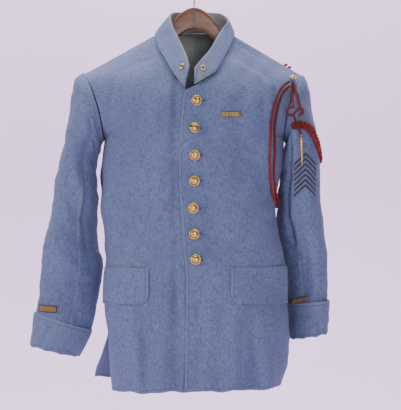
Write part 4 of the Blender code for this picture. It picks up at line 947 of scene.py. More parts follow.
def worn_metal(name, bright, dull, rough, grain=420.0):
    """Handled metal: bright where it is rubbed, dull and rougher in spots, and darker and rougher in a
    button's groove, where the darkening is painted shade.
    """
    m = Nodes(name, bright, rough, 1.0)
    place = m.place()
    spots = m.noise(place, grain, 4.0)
    patch = m.noise(place, grain / 6, 3.0)
    grime = m.attribute("grime")
    # the attribute read above paints a button's groove darker as painted shade; the spots are dull tarnish
    dull_and_shade = m.math("MAXIMUM", grime, m.range(spots, 0.52, 0.72, 0.0, 0.65))
    m.put(m.surface, "Base Color", m.mix(dull_and_shade, bright, dull))
    handled = m.range(patch, 0.35, 0.65, rough - 0.08, rough + 0.12)
    m.put(m.surface, "Roughness", m.math("ADD", handled, m.math("MULTIPLY", dull_and_shade, 0.22)))
    m.relief((spots, 0.00005), (patch, 0.00006))
    return m.material


def plaited(name, light, dark, pitch, strands):
    """Plaited cord: strands that cross at a slant both ways, a little fluffy, with painted shade darker
    between them.
    """
    m = Nodes(name, light, 0.85, Sheen_Weight=0.05, Specular_IOR_Level=0.2)
    lie = m.lie()
    one = m.wave(lie, 1 / pitch, strands)
    other = m.wave(lie, 1 / pitch, -strands)
    plait = m.math("MAXIMUM", one, other)
    fluff = m.noise(lie, 1.0, 4.0, (2600.0, 40.0, 1.0))
    fade = m.noise(m.place(), 30.0, 3.0)
    # the dark colour fills the gaps between the strands: painted shade
    base = m.mix(m.range(plait, 0.45, 0.95, 0.0, 1.0), dark, light)
    base = m.mix(m.range(fade, 0.4, 0.66, 0.0, 0.35), base, (light[0] * 1.25, light[1] * 1.5, light[2] * 1.5))
    base = m.mix(m.range(fluff, 0.5, 0.75, 0.0, 0.25), base, (light[0] * 1.3, light[1] * 1.9, light[2] * 1.9))
    m.put(m.surface, "Base Color", base)
    m.put(m.surface, "Roughness", m.range(fluff, 0.3, 0.7, 0.72, 0.92))
    m.relief((plait, 0.0005), (fluff, 0.00015))
    return m.material


def woven_braid(name, light, dark, rib, sheen=0.2, metal=0.0):
    """Flat woven braid: close ribs across it, crossed by a herringbone down its length."""
    m = Nodes(name, light, 0.75, metal, Sheen_Weight=sheen)
    lie = m.lie()
    ribs = m.wave(lie, 1 / rib, 0)
    one, other = m.wave(lie, 0.28 / rib, 0.36 / rib), m.wave(lie, 0.28 / rib, -0.36 / rib)
    herring = m.math("MULTIPLY", one, other)
    fade = m.noise(m.place(), 70.0, 4.0)
    base = m.mix(m.range(herring, 0.1, 0.7, 0.0, 1.0), dark, light)
    base = m.mix(m.range(ribs, 0.0, 1.0, 0.25, 0.0), base, times(dark, 0.6))
    base = m.mix(m.range(fade, 0.42, 0.7, 0.0, 0.4), base, dark)
    m.put(m.surface, "Base Color", base)
    m.put(m.surface, "Roughness", m.range(fade, 0.3, 0.7, 0.55, 0.85))
    m.relief((herring, 0.0003), (ribs, 0.00015))
    return m.material


def striped(name, stripes):
    """Ribbon: upright stripes side by side across its width, with fine ribs."""
    m = Nodes(name, stripes[0][1], 0.6, Sheen_Weight=0.15)
    lie = m.lie()
    split = m.add("SeparateXYZ", Vector=lie)
    ramp = m.tree.nodes.new("ShaderNodeValToRGB")
    ramp.color_ramp.interpolation = "CONSTANT"
    while len(ramp.color_ramp.elements) < len(stripes):
        ramp.color_ramp.elements.new(1.0)
    for element, (at, colour) in zip(ramp.color_ramp.elements, stripes):
        element.position, element.color = at, (*colour, 1)
    m.put(ramp, 0, m.math("MULTIPLY", split, 1 / RIBBON_LONG))
    ribs = m.wave(lie, 0, 1 / 0.0007)
    fade = m.noise(m.place(), 140.0, 3.0)
    base = m.mix(m.range(ribs, 0.0, 1.0, 0.25, 0.0), ramp.outputs[0], (0.05, 0.04, 0.02))
    m.put(m.surface, "Base Color", m.mix(m.range(fade, 0.4, 0.7, 0.0, 0.35), base, (0.10, 0.085, 0.04)))
    m.put(m.surface, "Roughness", m.range(fade, 0.3, 0.7, 0.5, 0.75))
    m.relief((ribs, 0.00015))
    return m.material


def varnished(name, light, dark):
    """Varnished wood: long grain in streaks and rings, darker where the mesh's attribute says, which the
    hanger gives along each arm's top and bottom and at its middle.
    """
    m = Nodes(name, light, 0.35, Coat_Weight=0.35, Coat_Roughness=0.25)
    lie = m.lie()
    streak = m.noise(lie, 1.0, 5.0, (9.0, 260.0, 1.0))
    pores = m.noise(lie, 1.0, 3.0, (60.0, 1500.0, 1.0))
    ring = m.noise(lie, 1.0, 2.0, (3.0, 55.0, 1.0))
    base = m.mix(m.range(streak, 0.34, 0.66, 0.0, 1.0), dark, light)
    base = m.mix(m.range(ring, 0.44, 0.60, 0.0, 0.5), base, times(dark, 0.75))
    base = m.mix(m.range(pores, 0.56, 0.70, 0.0, 0.5), base, times(dark, 0.45))
    base = m.mix(m.attribute("grime"), base, times(dark, 0.35))
    m.put(m.surface, "Base Color", base)
    m.put(m.surface, "Roughness", m.range(streak, 0.3, 0.7, 0.30, 0.48))
    m.relief((pores, 0.0001), (streak, 0.0001))
    return m.material


def finishes():
    """Every finish of the tunic and its hanger, made once and kept by name."""
    if "finishes" in MADE:
        return MADE["finishes"]
    colours = bpy.context.scene.tunic_colours
    blue = tuple(colours.serge)
    dark, light = times(blue, 0.86), times(blue, 1.14)
    red = tuple(colours.cord)
    brass = tuple(colours.brass)
    made = {
        "serge": serge("Heathered serge", blue, light, dark),
        "patch": serge("Backing cloth", (0.13, 0.165, 0.28), (0.15, 0.19, 0.32), (0.10, 0.125, 0.21)),
        "lining": plain_weave("Faded lining", tuple(colours.lining), times(colours.lining, 0.62), 0.0009),
        "brass": worn_metal("Worn brass", brass, times(brass, 0.22), 0.30),
        "bronze": worn_metal("Dark bronze", (0.16, 0.12, 0.06), (0.03, 0.025, 0.015), 0.42),
        "wire": worn_metal("Blackened wire", (0.05, 0.05, 0.055), (0.02, 0.02, 0.02), 0.45),
        "steel": worn_metal("Plain steel wire", (0.42, 0.42, 0.43), (0.10, 0.09, 0.08), 0.30),
        # each plaited finish's second colour is the painted shade between its strands
        "cord": plaited("Red plaited cord", red, times(red, 0.22), 0.0034, 1.0),
        "strand": plaited("Red braid strand", red, times(red, 0.22), 0.0036, 2.0),
        "navy": woven_braid("Navy braid", (0.030, 0.038, 0.075), (0.012, 0.015, 0.032), 0.0011),
        "lace": woven_braid("Dulled gold lace", (0.45, 0.27, 0.09), (0.16, 0.085, 0.03), 0.0013, 0.1, 0.35),
        "wood": varnished("Varnished wood", tuple(colours.wood), times(colours.wood, 0.55)),
        "thread": plaited("Dark buttonhole thread", (0.055, 0.075, 0.13), (0.02, 0.028, 0.05), 0.0012, 1.0),
        "ribbon": striped("Striped ribbon", STRIPES),
    }
    MADE["finishes"] = made
    return made


def stops(count, long):
    """Places from 0 to 1 along a piece so many metres long: even, but close together near both ends,
    where the cloth is rolled in."""
    near = np.array([0, 0.0004, 0.0010, 0.0018, 0.0028]) / long
    return np.concatenate([near, np.linspace(0.0045 / long, 1 - 0.0045 / long, count), 1 - near[::-1]])


def make_mesh(name, points, faces, lie, finish, **read):
    """An object straight from arrays: its points, its quads, where each point lies on the cloth in
    metres, and what its finish reads at each point. Ends that meet are welded."""
    mesh = bpy.data.meshes.new(name)
    mesh.vertices.add(len(points))
    mesh.vertices.foreach_set("co", points.astype(np.float32).ravel())
    mesh.loops.add(len(faces) * 4)
    mesh.loops.foreach_set("vertex_index", faces.astype(np.int32).ravel())
    mesh.polygons.add(len(faces))
    mesh.polygons.foreach_set("loop_start", np.arange(0, len(faces) * 4, 4, dtype=np.int32))
    mesh.update(calc_edges=True)
    mesh.uv_layers.new(name="lie").data.foreach_set("uv", lie[faces.ravel()].astype(np.float32).ravel())
    for key, values in read.items():
        made = mesh.attributes.new(key, "FLOAT", "POINT")
        made.data.foreach_set("value", np.asarray(values, np.float32).ravel())
    work = bmesh.new()
    work.from_mesh(mesh)
    bmesh.ops.remove_doubles(work, verts=work.verts, dist=0.000002)
    work.to_mesh(mesh)
    work.free()
    mesh.shade_smooth()
    mesh.set_sharp_from_angle(angle=math.radians(48))
    mesh.materials.append(finishes()[finish])
    made = bpy.data.objects.new(name, mesh)
    bpy.context.scene.collection.objects.link(made)
    return made


def quads(index):
    """Quads over a grid of point numbers."""
    return np.stack([index[:-1, :-1], index[:-1, 1:], index[1:, 1:], index[1:, :-1]], axis=-1).reshape(-1, 4)


def placed(made, slot, *nodes):
    """The piece rides the tunic's one body and stands for its solids, which are hidden."""
    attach(made, "root")
    if nodes:
        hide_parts(*nodes)
    return made


def shell(
    name, grid, facing, finish, thickness=0.0022, around=False, free=(), worn=0.2, roll=0.0009, wide=0.0030
):
    """A closed wall of cloth over a grid: outer face rolled in at its edges, inner face a thickness
    behind it, and the rims between. free names the edges with a pressed line inside them."""
    rows, columns = grid.shape[:2]
    across, down = spans(grid)
    outer, near = rolled(grid, facing, around, roll, wide)
    far = {"first": across, "last": across[:, -1:] - across, "low": down, "high": down[-1:] - down}
    edge = np.min([far[key] for key in free] + [np.full_like(across, 0.05)], axis=0) * 100
    wear = worn * np.exp(-((near / 0.0030) ** 2)) if np.isscalar(worn) else worn
    index = np.arange(rows * columns).reshape(rows, columns)
    inside = rows * columns
    front = quads(index)
    rims = [index[0], index[-1][::-1]] + ([] if around else [index[:, -1], index[::-1, 0]])
    strips = [np.stack([a[1:], a[:-1], a[:-1] + inside, a[1:] + inside], axis=-1) for a in rims]
    faces = np.concatenate([front, front[:, ::-1] + inside, *strips])
    corners = grid.reshape(-1, 3)[front]
    turned = np.cross(corners[:, 1] - corners[:, 0], corners[:, 3] - corners[:, 0])
    if (turned * facing.reshape(-1, 3)[front[:, 0]]).sum() < 0:
        faces = faces[:, ::-1]
    points = np.concatenate([outer.reshape(-1, 3), (grid - facing * thickness).reshape(-1, 3)])
    lie = np.stack([across, down], axis=-1).reshape(-1, 2)
    both = {"edge": np.tile(edge.ravel(), 2), "wear": np.tile(np.broadcast_to(wear, edge.shape).ravel(), 2)}
    made = make_mesh(name, points, faces, np.tile(lie, (2, 1)), finish, **both)
    made["cut"] = [float(across.max()), float(down.max()), float(np.linalg.norm(turned, axis=1).sum())]
    return made


def cut_as(made, held, *rests_on):
    """Keeps a cloth piece's flat size, unrolled from its own surface, under its name."""
    wide, long, area = made["cut"]
    MADE.setdefault("cuts", {})[made.name] = [round(wide, 3), round(long, 3), round(area, 4)]


def lathe(name, profile, finish, place, facing, grime=(), tall=1.0, around=48, ring=False):
    """A round piece: radius and height turned about an axis, points (radius cos t, radius sin t,
    height). The radii given after the facing are painted darker, which in a button's groove is painted shade."""
    profile = np.array(profile, float)
    line = spline_through(np.insert(profile, 1, 0, axis=1), 64 if not ring else 25)
    radius, height = np.maximum(line[:, 0], 0), line[:, 2]
    radius[np.abs(radius) < 0.00003] = 0
    turn = np.linspace(0, 2 * math.pi, around + 1)
    turn[-1] = 0
    x, y = radius[:, None] * np.cos(turn), radius[:, None] * np.sin(turn) * tall
    local = np.stack([x, y, height[:, None] + 0 * turn], axis=-1)
    axis = np.array(facing, float) / np.linalg.norm(facing)
    side = np.cross(axis, (0, 0, 1.0) if abs(axis[2]) < 0.9 else (0, -1.0, 0))
    side /= np.linalg.norm(side)
    basis = np.stack([side, np.cross(axis, side), axis])
    points = local.reshape(-1, 3) @ basis + np.array(place)
    index = np.arange(len(points)).reshape(local.shape[:2])
    widest = profile[:, 0].max()
    painted_dark = sum([np.exp(-(((radius / widest - at) / 0.055) ** 2)) for at in grime], np.zeros(len(radius)))
    lie = np.stack(np.broadcast_arrays(turn[None] * widest, height[:, None]), axis=-1).reshape(-1, 2)
    painted_dark = np.repeat(np.clip(painted_dark, 0, 1), around + 1)
    return make_mesh(name, points, quads(index)[:, ::-1], lie, finish, grime=painted_dark)


def tube_rings(path, radius, lobes=0, pitch=0.012, sides=24, deep=0.10):
    """Rings along a path, each radius (1 + deep cos(lobes (t - 2 pi s / pitch))) from it, with both
    ends rounded down to a point. Each ring's frame is carried on from the one before."""
    heading = np.gradient(path, axis=0)
    heading /= np.linalg.norm(heading, axis=1, keepdims=True)
    side = np.cross(heading[0], (0.31, -0.90, 0.30))
    frames = []
    for way in heading:
        side = side - way * np.dot(side, way)
        side = side / np.linalg.norm(side)
        frames.append(side)
    side = np.array(frames)
    other = np.cross(heading, side)
    run = np.concatenate([[0], np.cumsum(np.linalg.norm(np.diff(path, axis=0), axis=1))])
    turn = np.linspace(0, 2 * math.pi, sides + 1)
    turn[-1] = 0
    bulge = np.cos(lobes * (turn[None] - 2 * math.pi * run[:, None] / pitch))
    size = radius * (1 + deep * bulge * (lobes > 0))
    end = np.minimum(run, run[-1] - run)
    size *= np.sqrt(np.clip(1 - (1 - np.clip(end / radius, 0, 1)) ** 2, 0, 1))[:, None]
    rings = path[:, None] + size[..., None] * (
        side[:, None] * np.cos(turn)[None, :, None] + other[:, None] * np.sin(turn)[None, :, None]
    )
    lie = np.stack(np.broadcast_arrays(turn[None] / (2 * math.pi), run[:, None]), axis=-1)
    return rings, lie


def tubes(name, paths, radius, finish, **shape):
    """One object of tubes along some paths."""
    points, faces, lies, start = [], [], [], 0
    for path in paths:
        rings, lie = tube_rings(path, radius, **shape)
        index = start + np.arange(rings.shape[0] * rings.shape[1]).reshape(rings.shape[:2])
        points.append(rings.reshape(-1, 3))
        lies.append(lie.reshape(-1, 2))
        faces.append(quads(index)[:, ::-1])
        start += rings.shape[0] * rings.shape[1]
    return make_mesh(name, np.concatenate(points), np.concatenate(faces), np.concatenate(lies), finish)


def rounded_path(points, spacing=0.0011):
    """A smooth path through points, read off at even steps about spacing apart, never fewer than 24."""
    long = np.linalg.norm(np.diff(np.array(points, float), axis=0), axis=1).sum()
    return spline_through(points, max(24, int(long / spacing)))


def ring_middles(node, start):
    """The middles of the rings of a cord's solid, from the end at start. Each ring is one edge
    further from that end than the ring before."""
    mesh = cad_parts[node].data
    points = np.empty(len(mesh.vertices) * 3, np.float32)
    mesh.vertices.foreach_get("co", points)
    corners = np.empty(len(mesh.loops), np.int32)
    mesh.loops.foreach_get("vertex_index", corners)
    points, same = np.unique(points.reshape(-1, 3).astype(float).round(6), axis=0, return_inverse=True)
    triangles = same.reshape(-1)[corners].reshape(-1, 3)
    ring = np.full(len(points), len(points))
    ring[np.argsort(np.linalg.norm(points - start, axis=1))[:RING_POINTS]] = 0
    for _ in range(len(points) // RING_POINTS):
        nearer = ring[triangles].min(axis=1, keepdims=True) + 1
        np.minimum.at(ring, triangles, np.broadcast_to(nearer, triangles.shape))
    middles = np.zeros((ring.max() + 1, 3))
    np.add.at(middles, ring, points)
    return middles / np.bincount(ring)[:, None]


def solid_route(node):
    """Places at even steps along the middle of a long cord's solid, to the tenth of a millimetre."""
    start, left_off, count = LONG_CORDS[node]
    line = ring_middles(node, start)
    line = line[: len(line) - left_off]
    run = np.concatenate([[0], np.cumsum(np.linalg.norm(np.diff(line, axis=0), axis=1))])
    at = np.linspace(0, run[-1], count)
    return np.stack([np.interp(at, run, line[:, axis]) for axis in range(3)], axis=1).round(4)


def nearest(sheets, places, count):
    """The cloth's points and facings nearest to each place: rows of them, and how far each is."""
    grid = np.concatenate([sheet[0].reshape(-1, 3) for sheet in sheets])
    faces = np.concatenate([sheet[1].reshape(-1, 3) for sheet in sheets])
    found = []
    for part in np.array_split(places, max(1, len(places) // 150)):
        away = ((part[:, None] - grid[None]) ** 2).sum(axis=2)
        close = np.argpartition(away, count, axis=1)[:, :count]
        found.append((grid[close], faces[close], np.take_along_axis(away, close, axis=1)))
    return [np.concatenate([one[k] for one in found]) for k in range(3)]


def clear_of(sheets, path, least):
    """A path moved straight out wherever it lies nearer the cloth than it may."""
    points, faces, away = nearest(sheets, path, 4)
    weight = 1 / (away + 1e-9)
    weight /= weight.sum(axis=1, keepdims=True)
    facing = (faces * weight[..., None]).sum(axis=1)
    facing /= np.linalg.norm(facing, axis=1, keepdims=True)
    off = (((path[:, None] - points) * faces).sum(axis=2) * weight).sum(axis=1)
    push = np.maximum(0, least - off)
    push = np.convolve(np.pad(push, 2, mode="edge"), [0.1, 0.2, 0.4, 0.2, 0.1], mode="valid").clip(push)
    return path + facing * push[:, None]


def drop_on(sheets, x, z):
    """Where a front view of x and z meets the cloth, and the way it faces: a blend of the planes
    through the nearest points, each weighed by exp(-(d / 3 mm) squared)."""
    front = []
    for grid, facing, *_ in sheets:
        seen = facing[..., 1] < -0.12
        front.append((grid[seen], facing[seen]))
    grid, faces = np.concatenate([a for a, _ in front]), np.concatenate([b for _, b in front])
    shape = x.shape
    places = np.stack([x.ravel(), z.ravel()], axis=1)
    level, facing = [], []
    for part in np.array_split(places, max(1, len(places) // 200)):
        away = ((part[:, None] - grid[None, :, ::2]) ** 2).sum(axis=2)
        close = np.argpartition(away, 12, axis=1)[:, :12]
        d2 = np.take_along_axis(away, close, axis=1)
        p, n = grid[close], faces[close]
        slope = n[..., 0] * (part[:, :1] - p[..., 0]) + n[..., 2] * (part[:, 1:] - p[..., 2])
        y = p[..., 1] - slope / n[..., 1]
        weight = np.exp(-d2 / 0.003**2) + 1e-9
        weight /= weight.sum(axis=1, keepdims=True)
        level.append((y * weight).sum(axis=1))
        facing.append((n * weight[..., None]).sum(axis=1))
    level, facing = np.concatenate(level).reshape(shape), np.concatenate(facing).reshape(*shape, 3)
    return np.stack([x, level, z], axis=-1), facing / np.linalg.norm(facing, axis=2, keepdims=True)


def laid(name, sheets, outline, finish, off, thickness, size, worn=0.1, pad=0.0):
    """A thin piece laid on the cloth: outline gives x and z for how far along and down it a point
    is. pad makes its middle stand that much higher, as a folded ribbon's does."""
    along, down = np.meshgrid(np.linspace(0, 1, size[0]), np.linspace(0, 1, size[1]))
    x, z = outline(along, down)
    grid, facing = drop_on(sheets, x, z)
    rise = off + thickness + pad * np.sin(math.pi * down)
    grid = grid + facing * rise[..., None]
    made = shell(name, grid, facing, finish, thickness, worn=worn, roll=thickness * 0.35, wide=0.0009)
    return made, (grid, facing)


def straight(left, right, top, low):
    """A four-cornered outline: each end is its x with its top and bottom z."""
    return lambda along, down: (
        left + (right - left) * along,
        (top[0] + (top[1] - top[0]) * along) * (1 - down) + (low[0] + (low[1] - low[0]) * along) * down,
    )


def build_body():
    """The fronts and the back's halves."""
    level = 1 - (1 - stops(176, 0.70)) ** 1.25
    level = np.unique(np.round(level, 6))
    across = np.unique(np.round(stops(104, 0.24), 6))
    for side, hand in ((1, "left"), (-1, "right")):
        for front, word in ((True, "front"), (False, "back")):
            grid, facing = body_panel(side, front, level, across)
            MADE[word, side] = (grid, facing, level, across)
            free = ("first", "low") if front else ("low",)
            made = shell(f"cloth_{word}_{hand}", grid, facing, "serge", free=free)
            placed(made, "serge", f"{word}_{hand}")
            cut_as(made, "hung", f"hanger_arm_{hand}")


def build_sleeves():
    """Each sleeve's upper and under piece."""
    way = np.unique(np.round(stops(140, SLEEVE_LONG), 6))
    cuts = {
        "upper": (BACK_SLEEVE_SEAM, FRONT_SLEEVE_SEAM),
        "under": (FRONT_SLEEVE_SEAM, BACK_SLEEVE_SEAM + 2 * math.pi),
    }
    for side, hand in ((1, "left"), (-1, "right")):
        for kind, (first, last) in cuts.items():
            angle = first + (last - first) * np.unique(np.round(stops(58, (last - first) * SLEEVE_ROUND), 6))
            grid, facing = sleeve_part(side, way, angle)
            MADE[kind, side] = (grid, facing)
            made = shell(f"cloth_sleeve_{kind}_{hand}", grid, facing, "serge")
            placed(made, "serge", f"sleeve_{kind}_{hand}")
            cut_as(made, "hung", f"cloth_front_{hand}", f"cloth_back_{hand}")


def build_cuffs():
    """The turned-back cuffs."""
    for side, hand in ((1, "left"), (-1, "right")):
        way = CUFF_TOP[side] + (1 - CUFF_TOP[side]) * np.unique(np.round(stops(22, 0.08), 6))
        angle = np.linspace(-math.pi, math.pi, 121)
        grid, facing = cuff_part(side, way, angle)
        MADE["cuff", side] = (grid, facing)
        worn = 0.45 * np.exp(-((spans(grid)[1] / 0.004) ** 2)) + 0.1
        free = ("low", "high")
        made = shell(f"cloth_cuff_{hand}", grid, facing, "serge", around=True, free=free, worn=worn)
        placed(made, "serge", f"cuff_{hand}")
        cut_as(made, "hung", f"cloth_sleeve_upper_{hand}", f"cloth_sleeve_under_{hand}")


def collar_part(way, up, off):
    """The stand collar between its seam and top edge, moved out by off, less its creases."""
    facing = facing_of(lambda a, b: collar_band(b, a), up, way, -1)
    wide, tall = COLLAR_LONG, COLLAR_TALL
    u, v = np.meshgrid(way * wide, up * tall)
    rows = [(a * wide, b * tall, c * wide, d * tall, *rest) for a, b, c, d, *rest in COLLAR_CREASES]
    depth = crease_depth(u, v, rows) + uneven(u, v, 41, WAVE_DEPTH["collar"])
    depth *= smooth(0, 0.25, up)[:, None] * bpy.context.scene.tunic_sizes.crease_strength
    return collar_band(way, up) + facing * (off - depth)[..., None], facing


def at_the_nape(way, up):
    """1 along the collar's seam behind the neck, easing to 0 further up and towards the front."""
    behind = smooth(0.30, 0.38, way) * smooth(0.70, 0.62, way)
    return behind[None] * smooth(0.3, 0, up)[:, None]


def build_collar():
    """Two outer halves that meet at the centre back, over one lining."""
    up = np.unique(np.round(stops(22, COLLAR_TALL), 6))
    for hand, first, last in (("right", 0, COLLAR_MIDDLE - 0.0003), ("left", COLLAR_MIDDLE + 0.0003, 1)):
        way = first + (last - first) * np.unique(np.round(stops(74, 0.185), 6))
        grid, facing = collar_part(way, up, COLLAR_OFF)
        grid += at_the_nape(way, up)[..., None] * np.array((0, 0, -0.0035))
        MADE["collar", hand] = (grid, facing)
        ends = np.exp(-(((way if hand == "right" else 1 - way) / 0.10) ** 2))[None]
        worn = 0.75 * np.exp(-(((1 - up) * COLLAR_TALL / 0.0050) ** 2))[:, None]
        worn = np.clip(worn + (0.55 if hand == "left" else 0.25) * ends, 0, 0.85)
        free = ("high", "first" if hand == "right" else "last")
        made = shell(f"cloth_collar_{hand}", grid, facing, "serge", free=free, worn=worn, roll=0.0007)
        placed(made, "serge", f"collar_{hand}")
        cut_as(made, "hung", f"cloth_front_{hand}", f"cloth_back_{hand}")
    way = np.linspace(0.006, 0.994, 150)
    grid, facing = collar_part(way, up, COLLAR_OFF - CLOTH - 0.0004)
    grid += at_the_nape(way, up)[..., None] * np.array((0, -0.0035, -0.0070))
    made = shell("cloth_collar_lining", grid, facing, "lining", LINING, roll=0.0004)
    placed(made, "lining_cloth", "collar_lining")
    cut_as(made, "hung", "cloth_collar_left", "cloth_collar_right")


def build_back_lining():
    """The lining of the upper back, with its hanging creases."""
    across = np.linspace(0, 0.72, 44)
    level = np.linspace(0.70, 0.965, 66)
    halves, faces = [], []
    for side in (-1, 1):
        grid, facing = body_panel(side, False, level, across)
        x, z = grid[..., 0], grid[..., 2]
        hang = crease_depth(x, z, LINING_CREASES) * smooth(0, 0.03, 0.72 - across)
        halves.append(grid - facing * (CLOTH + LINING_GAP - np.minimum(hang, 0))[..., None])
        faces.append(facing)
    whole = np.concatenate([halves[0][:, :0:-1], halves[1]], axis=1)
    facing = np.concatenate([faces[0][:, :0:-1], faces[1]], axis=1)
    made = shell("cloth_back_lining", whole, facing, "lining", LINING, roll=0.0003)
    placed(made, "lining_cloth", "back_lining")
    cut_as(made, "hung", "cloth_back_left", "cloth_back_right")


def sampled(sheet, row, column):
    """A grid read between its points, at fractions of its rows and columns."""
    r, c = np.clip(row, 0, sheet.shape[0] - 1.001), np.clip(column, 0, sheet.shape[1] - 1.001)
    i, j = r.astype(int), c.astype(int)
    f, g = (r - i)[..., None], (c - j)[..., None]
    low = sheet[i, j] * (1 - g) + sheet[i, j + 1] * g
    high = sheet[i + 1, j] * (1 - g) + sheet[i + 1, j + 1] * g
    return low * (1 - f) + high * f


def build_flaps():
    """Pocket flaps, each from its front's own points, with the lower inner corner rounded."""
    for side, hand in ((1, "left"), (-1, "right")):
        sheet, facing, _, across = MADE["front", side]
        down = np.unique(np.round(stops(40, FLAP_DROP), 6))
        z = FLAP_TOP_Z[side] - FLAP_DROP * down
        middle = len(across) // 2
        row = np.interp(z, sheet[:, middle, 2], np.arange(len(sheet)))
        near = np.clip(down * FLAP_DROP - (FLAP_DROP - FLAP_CORNER), 0, None) / FLAP_CORNER
        inset = FLAP_CORNER * (1 - np.sqrt(np.clip(1 - near**2, 0, 1)))
        at = side * FLAP_INNER_X[side] + inset
        count = np.arange(sheet.shape[1])
        inner = np.array([np.interp(x, side * sheet[int(r), :, 0], count) for x, r in zip(at, row)])
        outer = np.interp(FLAP_OUTER, across, count)
        along = np.unique(np.round(stops(54, 0.10), 6))
        column = inner[:, None] + (outer - inner)[:, None] * along[None]
        rows = np.broadcast_to(row[:, None], column.shape)
        grid, faces = sampled(sheet, rows, column), sampled(facing, rows, column)
        faces /= np.linalg.norm(faces, axis=2, keepdims=True)
        waves = uneven(grid[..., 0], grid[..., 2], 51 + side, WAVE_DEPTH["flap"]).clip(-WAVE_DEPTH["flap"])
        lift = FLAP_OFF + CLOTH + FLAP_LIFT * down[:, None] + waves
        made = shell(
            f"cloth_pocket_flap_{hand}", grid + faces * lift[..., None], faces, "serge",
            free=("first", "last", "high"), worn=0.35, roll=0.0008,
        )
        placed(made, "serge", f"pocket_flap_{hand}")
        cut_as(made, "hung", f"cloth_front_{hand}")


def button_profile(radius, height, shank):
    """A domed button with a groove and a raised rim, on a shank."""
    return (
        (0.0, height), (0.20 * radius, height - 0.0001), (0.40 * radius, height - 0.0006),
        (0.56 * radius, height - 0.0014), (0.64 * radius, height - 0.0023), (0.70 * radius, height - 0.0030),
        (0.76 * radius, height - 0.0027), (0.82 * radius, height - 0.0022), (0.90 * radius, height - 0.0022),
        (0.97 * radius, height - 0.0027), (radius, height - 0.0034), (0.97 * radius, height - 0.0043),
        (0.90 * radius, height - 0.0048), (shank * 1.15, height - 0.0050), (shank, height - 0.0053),
        (shank, BUTTON_SEAT + 0.0004), (shank, BUTTON_SEAT), (shank * 0.6, BUTTON_SEAT), (0.0, BUTTON_SEAT),
    )


def build_buttons():
    """Seven front buttons, the shoulder button, and a worked buttonhole beside each front one."""
    sheets = [MADE["front", 1]]
    places = np.array(BUTTONS + (SHOULDER_BUTTON,))
    seats, facing = drop_on(sheets, places[None, :, 0], places[None, :, 1])
    front = button_profile(BUTTON_RADIUS, BUTTON_HEIGHT, 0.0025)
    small = button_profile(SHOULDER_BUTTON_RADIUS, SHOULDER_BUTTON_HEIGHT, 0.0018)
    kinds = [(f"button_{number}", front) for number in range(1, len(BUTTONS) + 1)]
    kinds.append(("shoulder_button", small))
    for (name, profile), seat, way in zip(kinds, seats[0], facing[0]):
        # each button is painted darker at 0.70 of its radius, its groove, as painted shade, and at its middle
        placed(lathe(f"metal_{name}", profile, "brass", seat, way, (0.70, 0.0)), "brass", name)
    first, last, half = BUTTONHOLE
    for number, (x, z) in enumerate(BUTTONS, 1):
        hole = straight(x + first, x + last, (z + half, z + half), (z - half, z - half))
        made, _ = laid(f"buttonhole_{number}", sheets, hole, "thread", 0.0002, 0.0005, (16, 6))
        placed(made, "serge")


def build_marks():
    """The ribbon bar, the chevrons on their backing, and the lace above each cuff."""
    left, right, top, low = RIBBON_BAR
    outline = straight(left, right, (top, top), (low, low))
    front = [MADE["front", 1]]
    bar, face = laid("metal_ribbon_bar", front, outline, "bronze", 0.0005, 0.0018, (60, 20))
    placed(bar, "bronze", "ribbon_bar")
    inner = straight(left + 0.0011, right - 0.0011, (top - 0.0012,) * 2, (low + 0.0012,) * 2)
    made, _ = laid("cloth_ribbon", [face], inner, "ribbon", 0.0002, 0.0006, (60, 16), pad=0.0003)
    placed(made, "ribbon_cloth", "ribbon")

    def chevron(first, last, reach=CHEVRON_HALF_WIDTH):
        """A band between two heights that bends down from its middle, |x| with a rounded point."""

        def outline(along, down):
            x = (2 * along - 1) * reach
            bend = np.sqrt(x * x + 0.0008**2) - 0.0008
            return CHEVRON_X + x, CHEVRON_TOP - first - (last - first) * down - bend

        return outline

    deep = CHEVRON_STEP * (CHEVRONS - 1) + CHEVRON_LINE
    beside, above = CHEVRON_BACKING
    shape = chevron(-above, deep + above, CHEVRON_HALF_WIDTH + beside)
    sleeve_left = [MADE["upper", 1], MADE["under", 1]]
    patch, face = laid("cloth_chevron_patch", sleeve_left, shape, "patch", 0.0013, 0.0010, (56, 70))
    placed(patch, "grey_cloth", "chevron_patch")
    for number in range(CHEVRONS):
        start = number * CHEVRON_STEP
        one = chevron(start, start + CHEVRON_LINE)
        name = f"chevron_{number + 1}"
        made, _ = laid(f"cloth_{name}", [face], one, "navy", 0.0003, 0.0009, (60, 9), pad=0.0004)
        placed(made, "navy_cloth", name)
    for side, hand in ((1, "left"), (-1, "right")):
        sheets = [MADE["upper", side], MADE["under", side]]
        left, right, top, low, off = LACE[side]
        outline = straight(left, right, top, low)
        tab, face = laid(f"cloth_cuff_tab_{hand}", sheets, outline, "navy", off, 0.0010, (50, 18))
        placed(tab, "navy_cloth", f"cuff_tab_{hand}")
        wide, tall = right - left, (top[0] - low[0] + top[1] - low[1]) / 2
        inner = straight(
            left + 0.04 * wide, right - 0.04 * wide,
            (top[0] - 0.13 * tall, top[1] - 0.13 * tall), (low[0] + 0.13 * tall, low[1] + 0.13 * tall),
        )
        made, _ = laid(f"cloth_cuff_lace_{hand}", [face], inner, "lace", 0.0003, 0.0008, (50, 14), pad=0.0003)
        placed(made, "gold_lace", f"cuff_lace_{hand}")


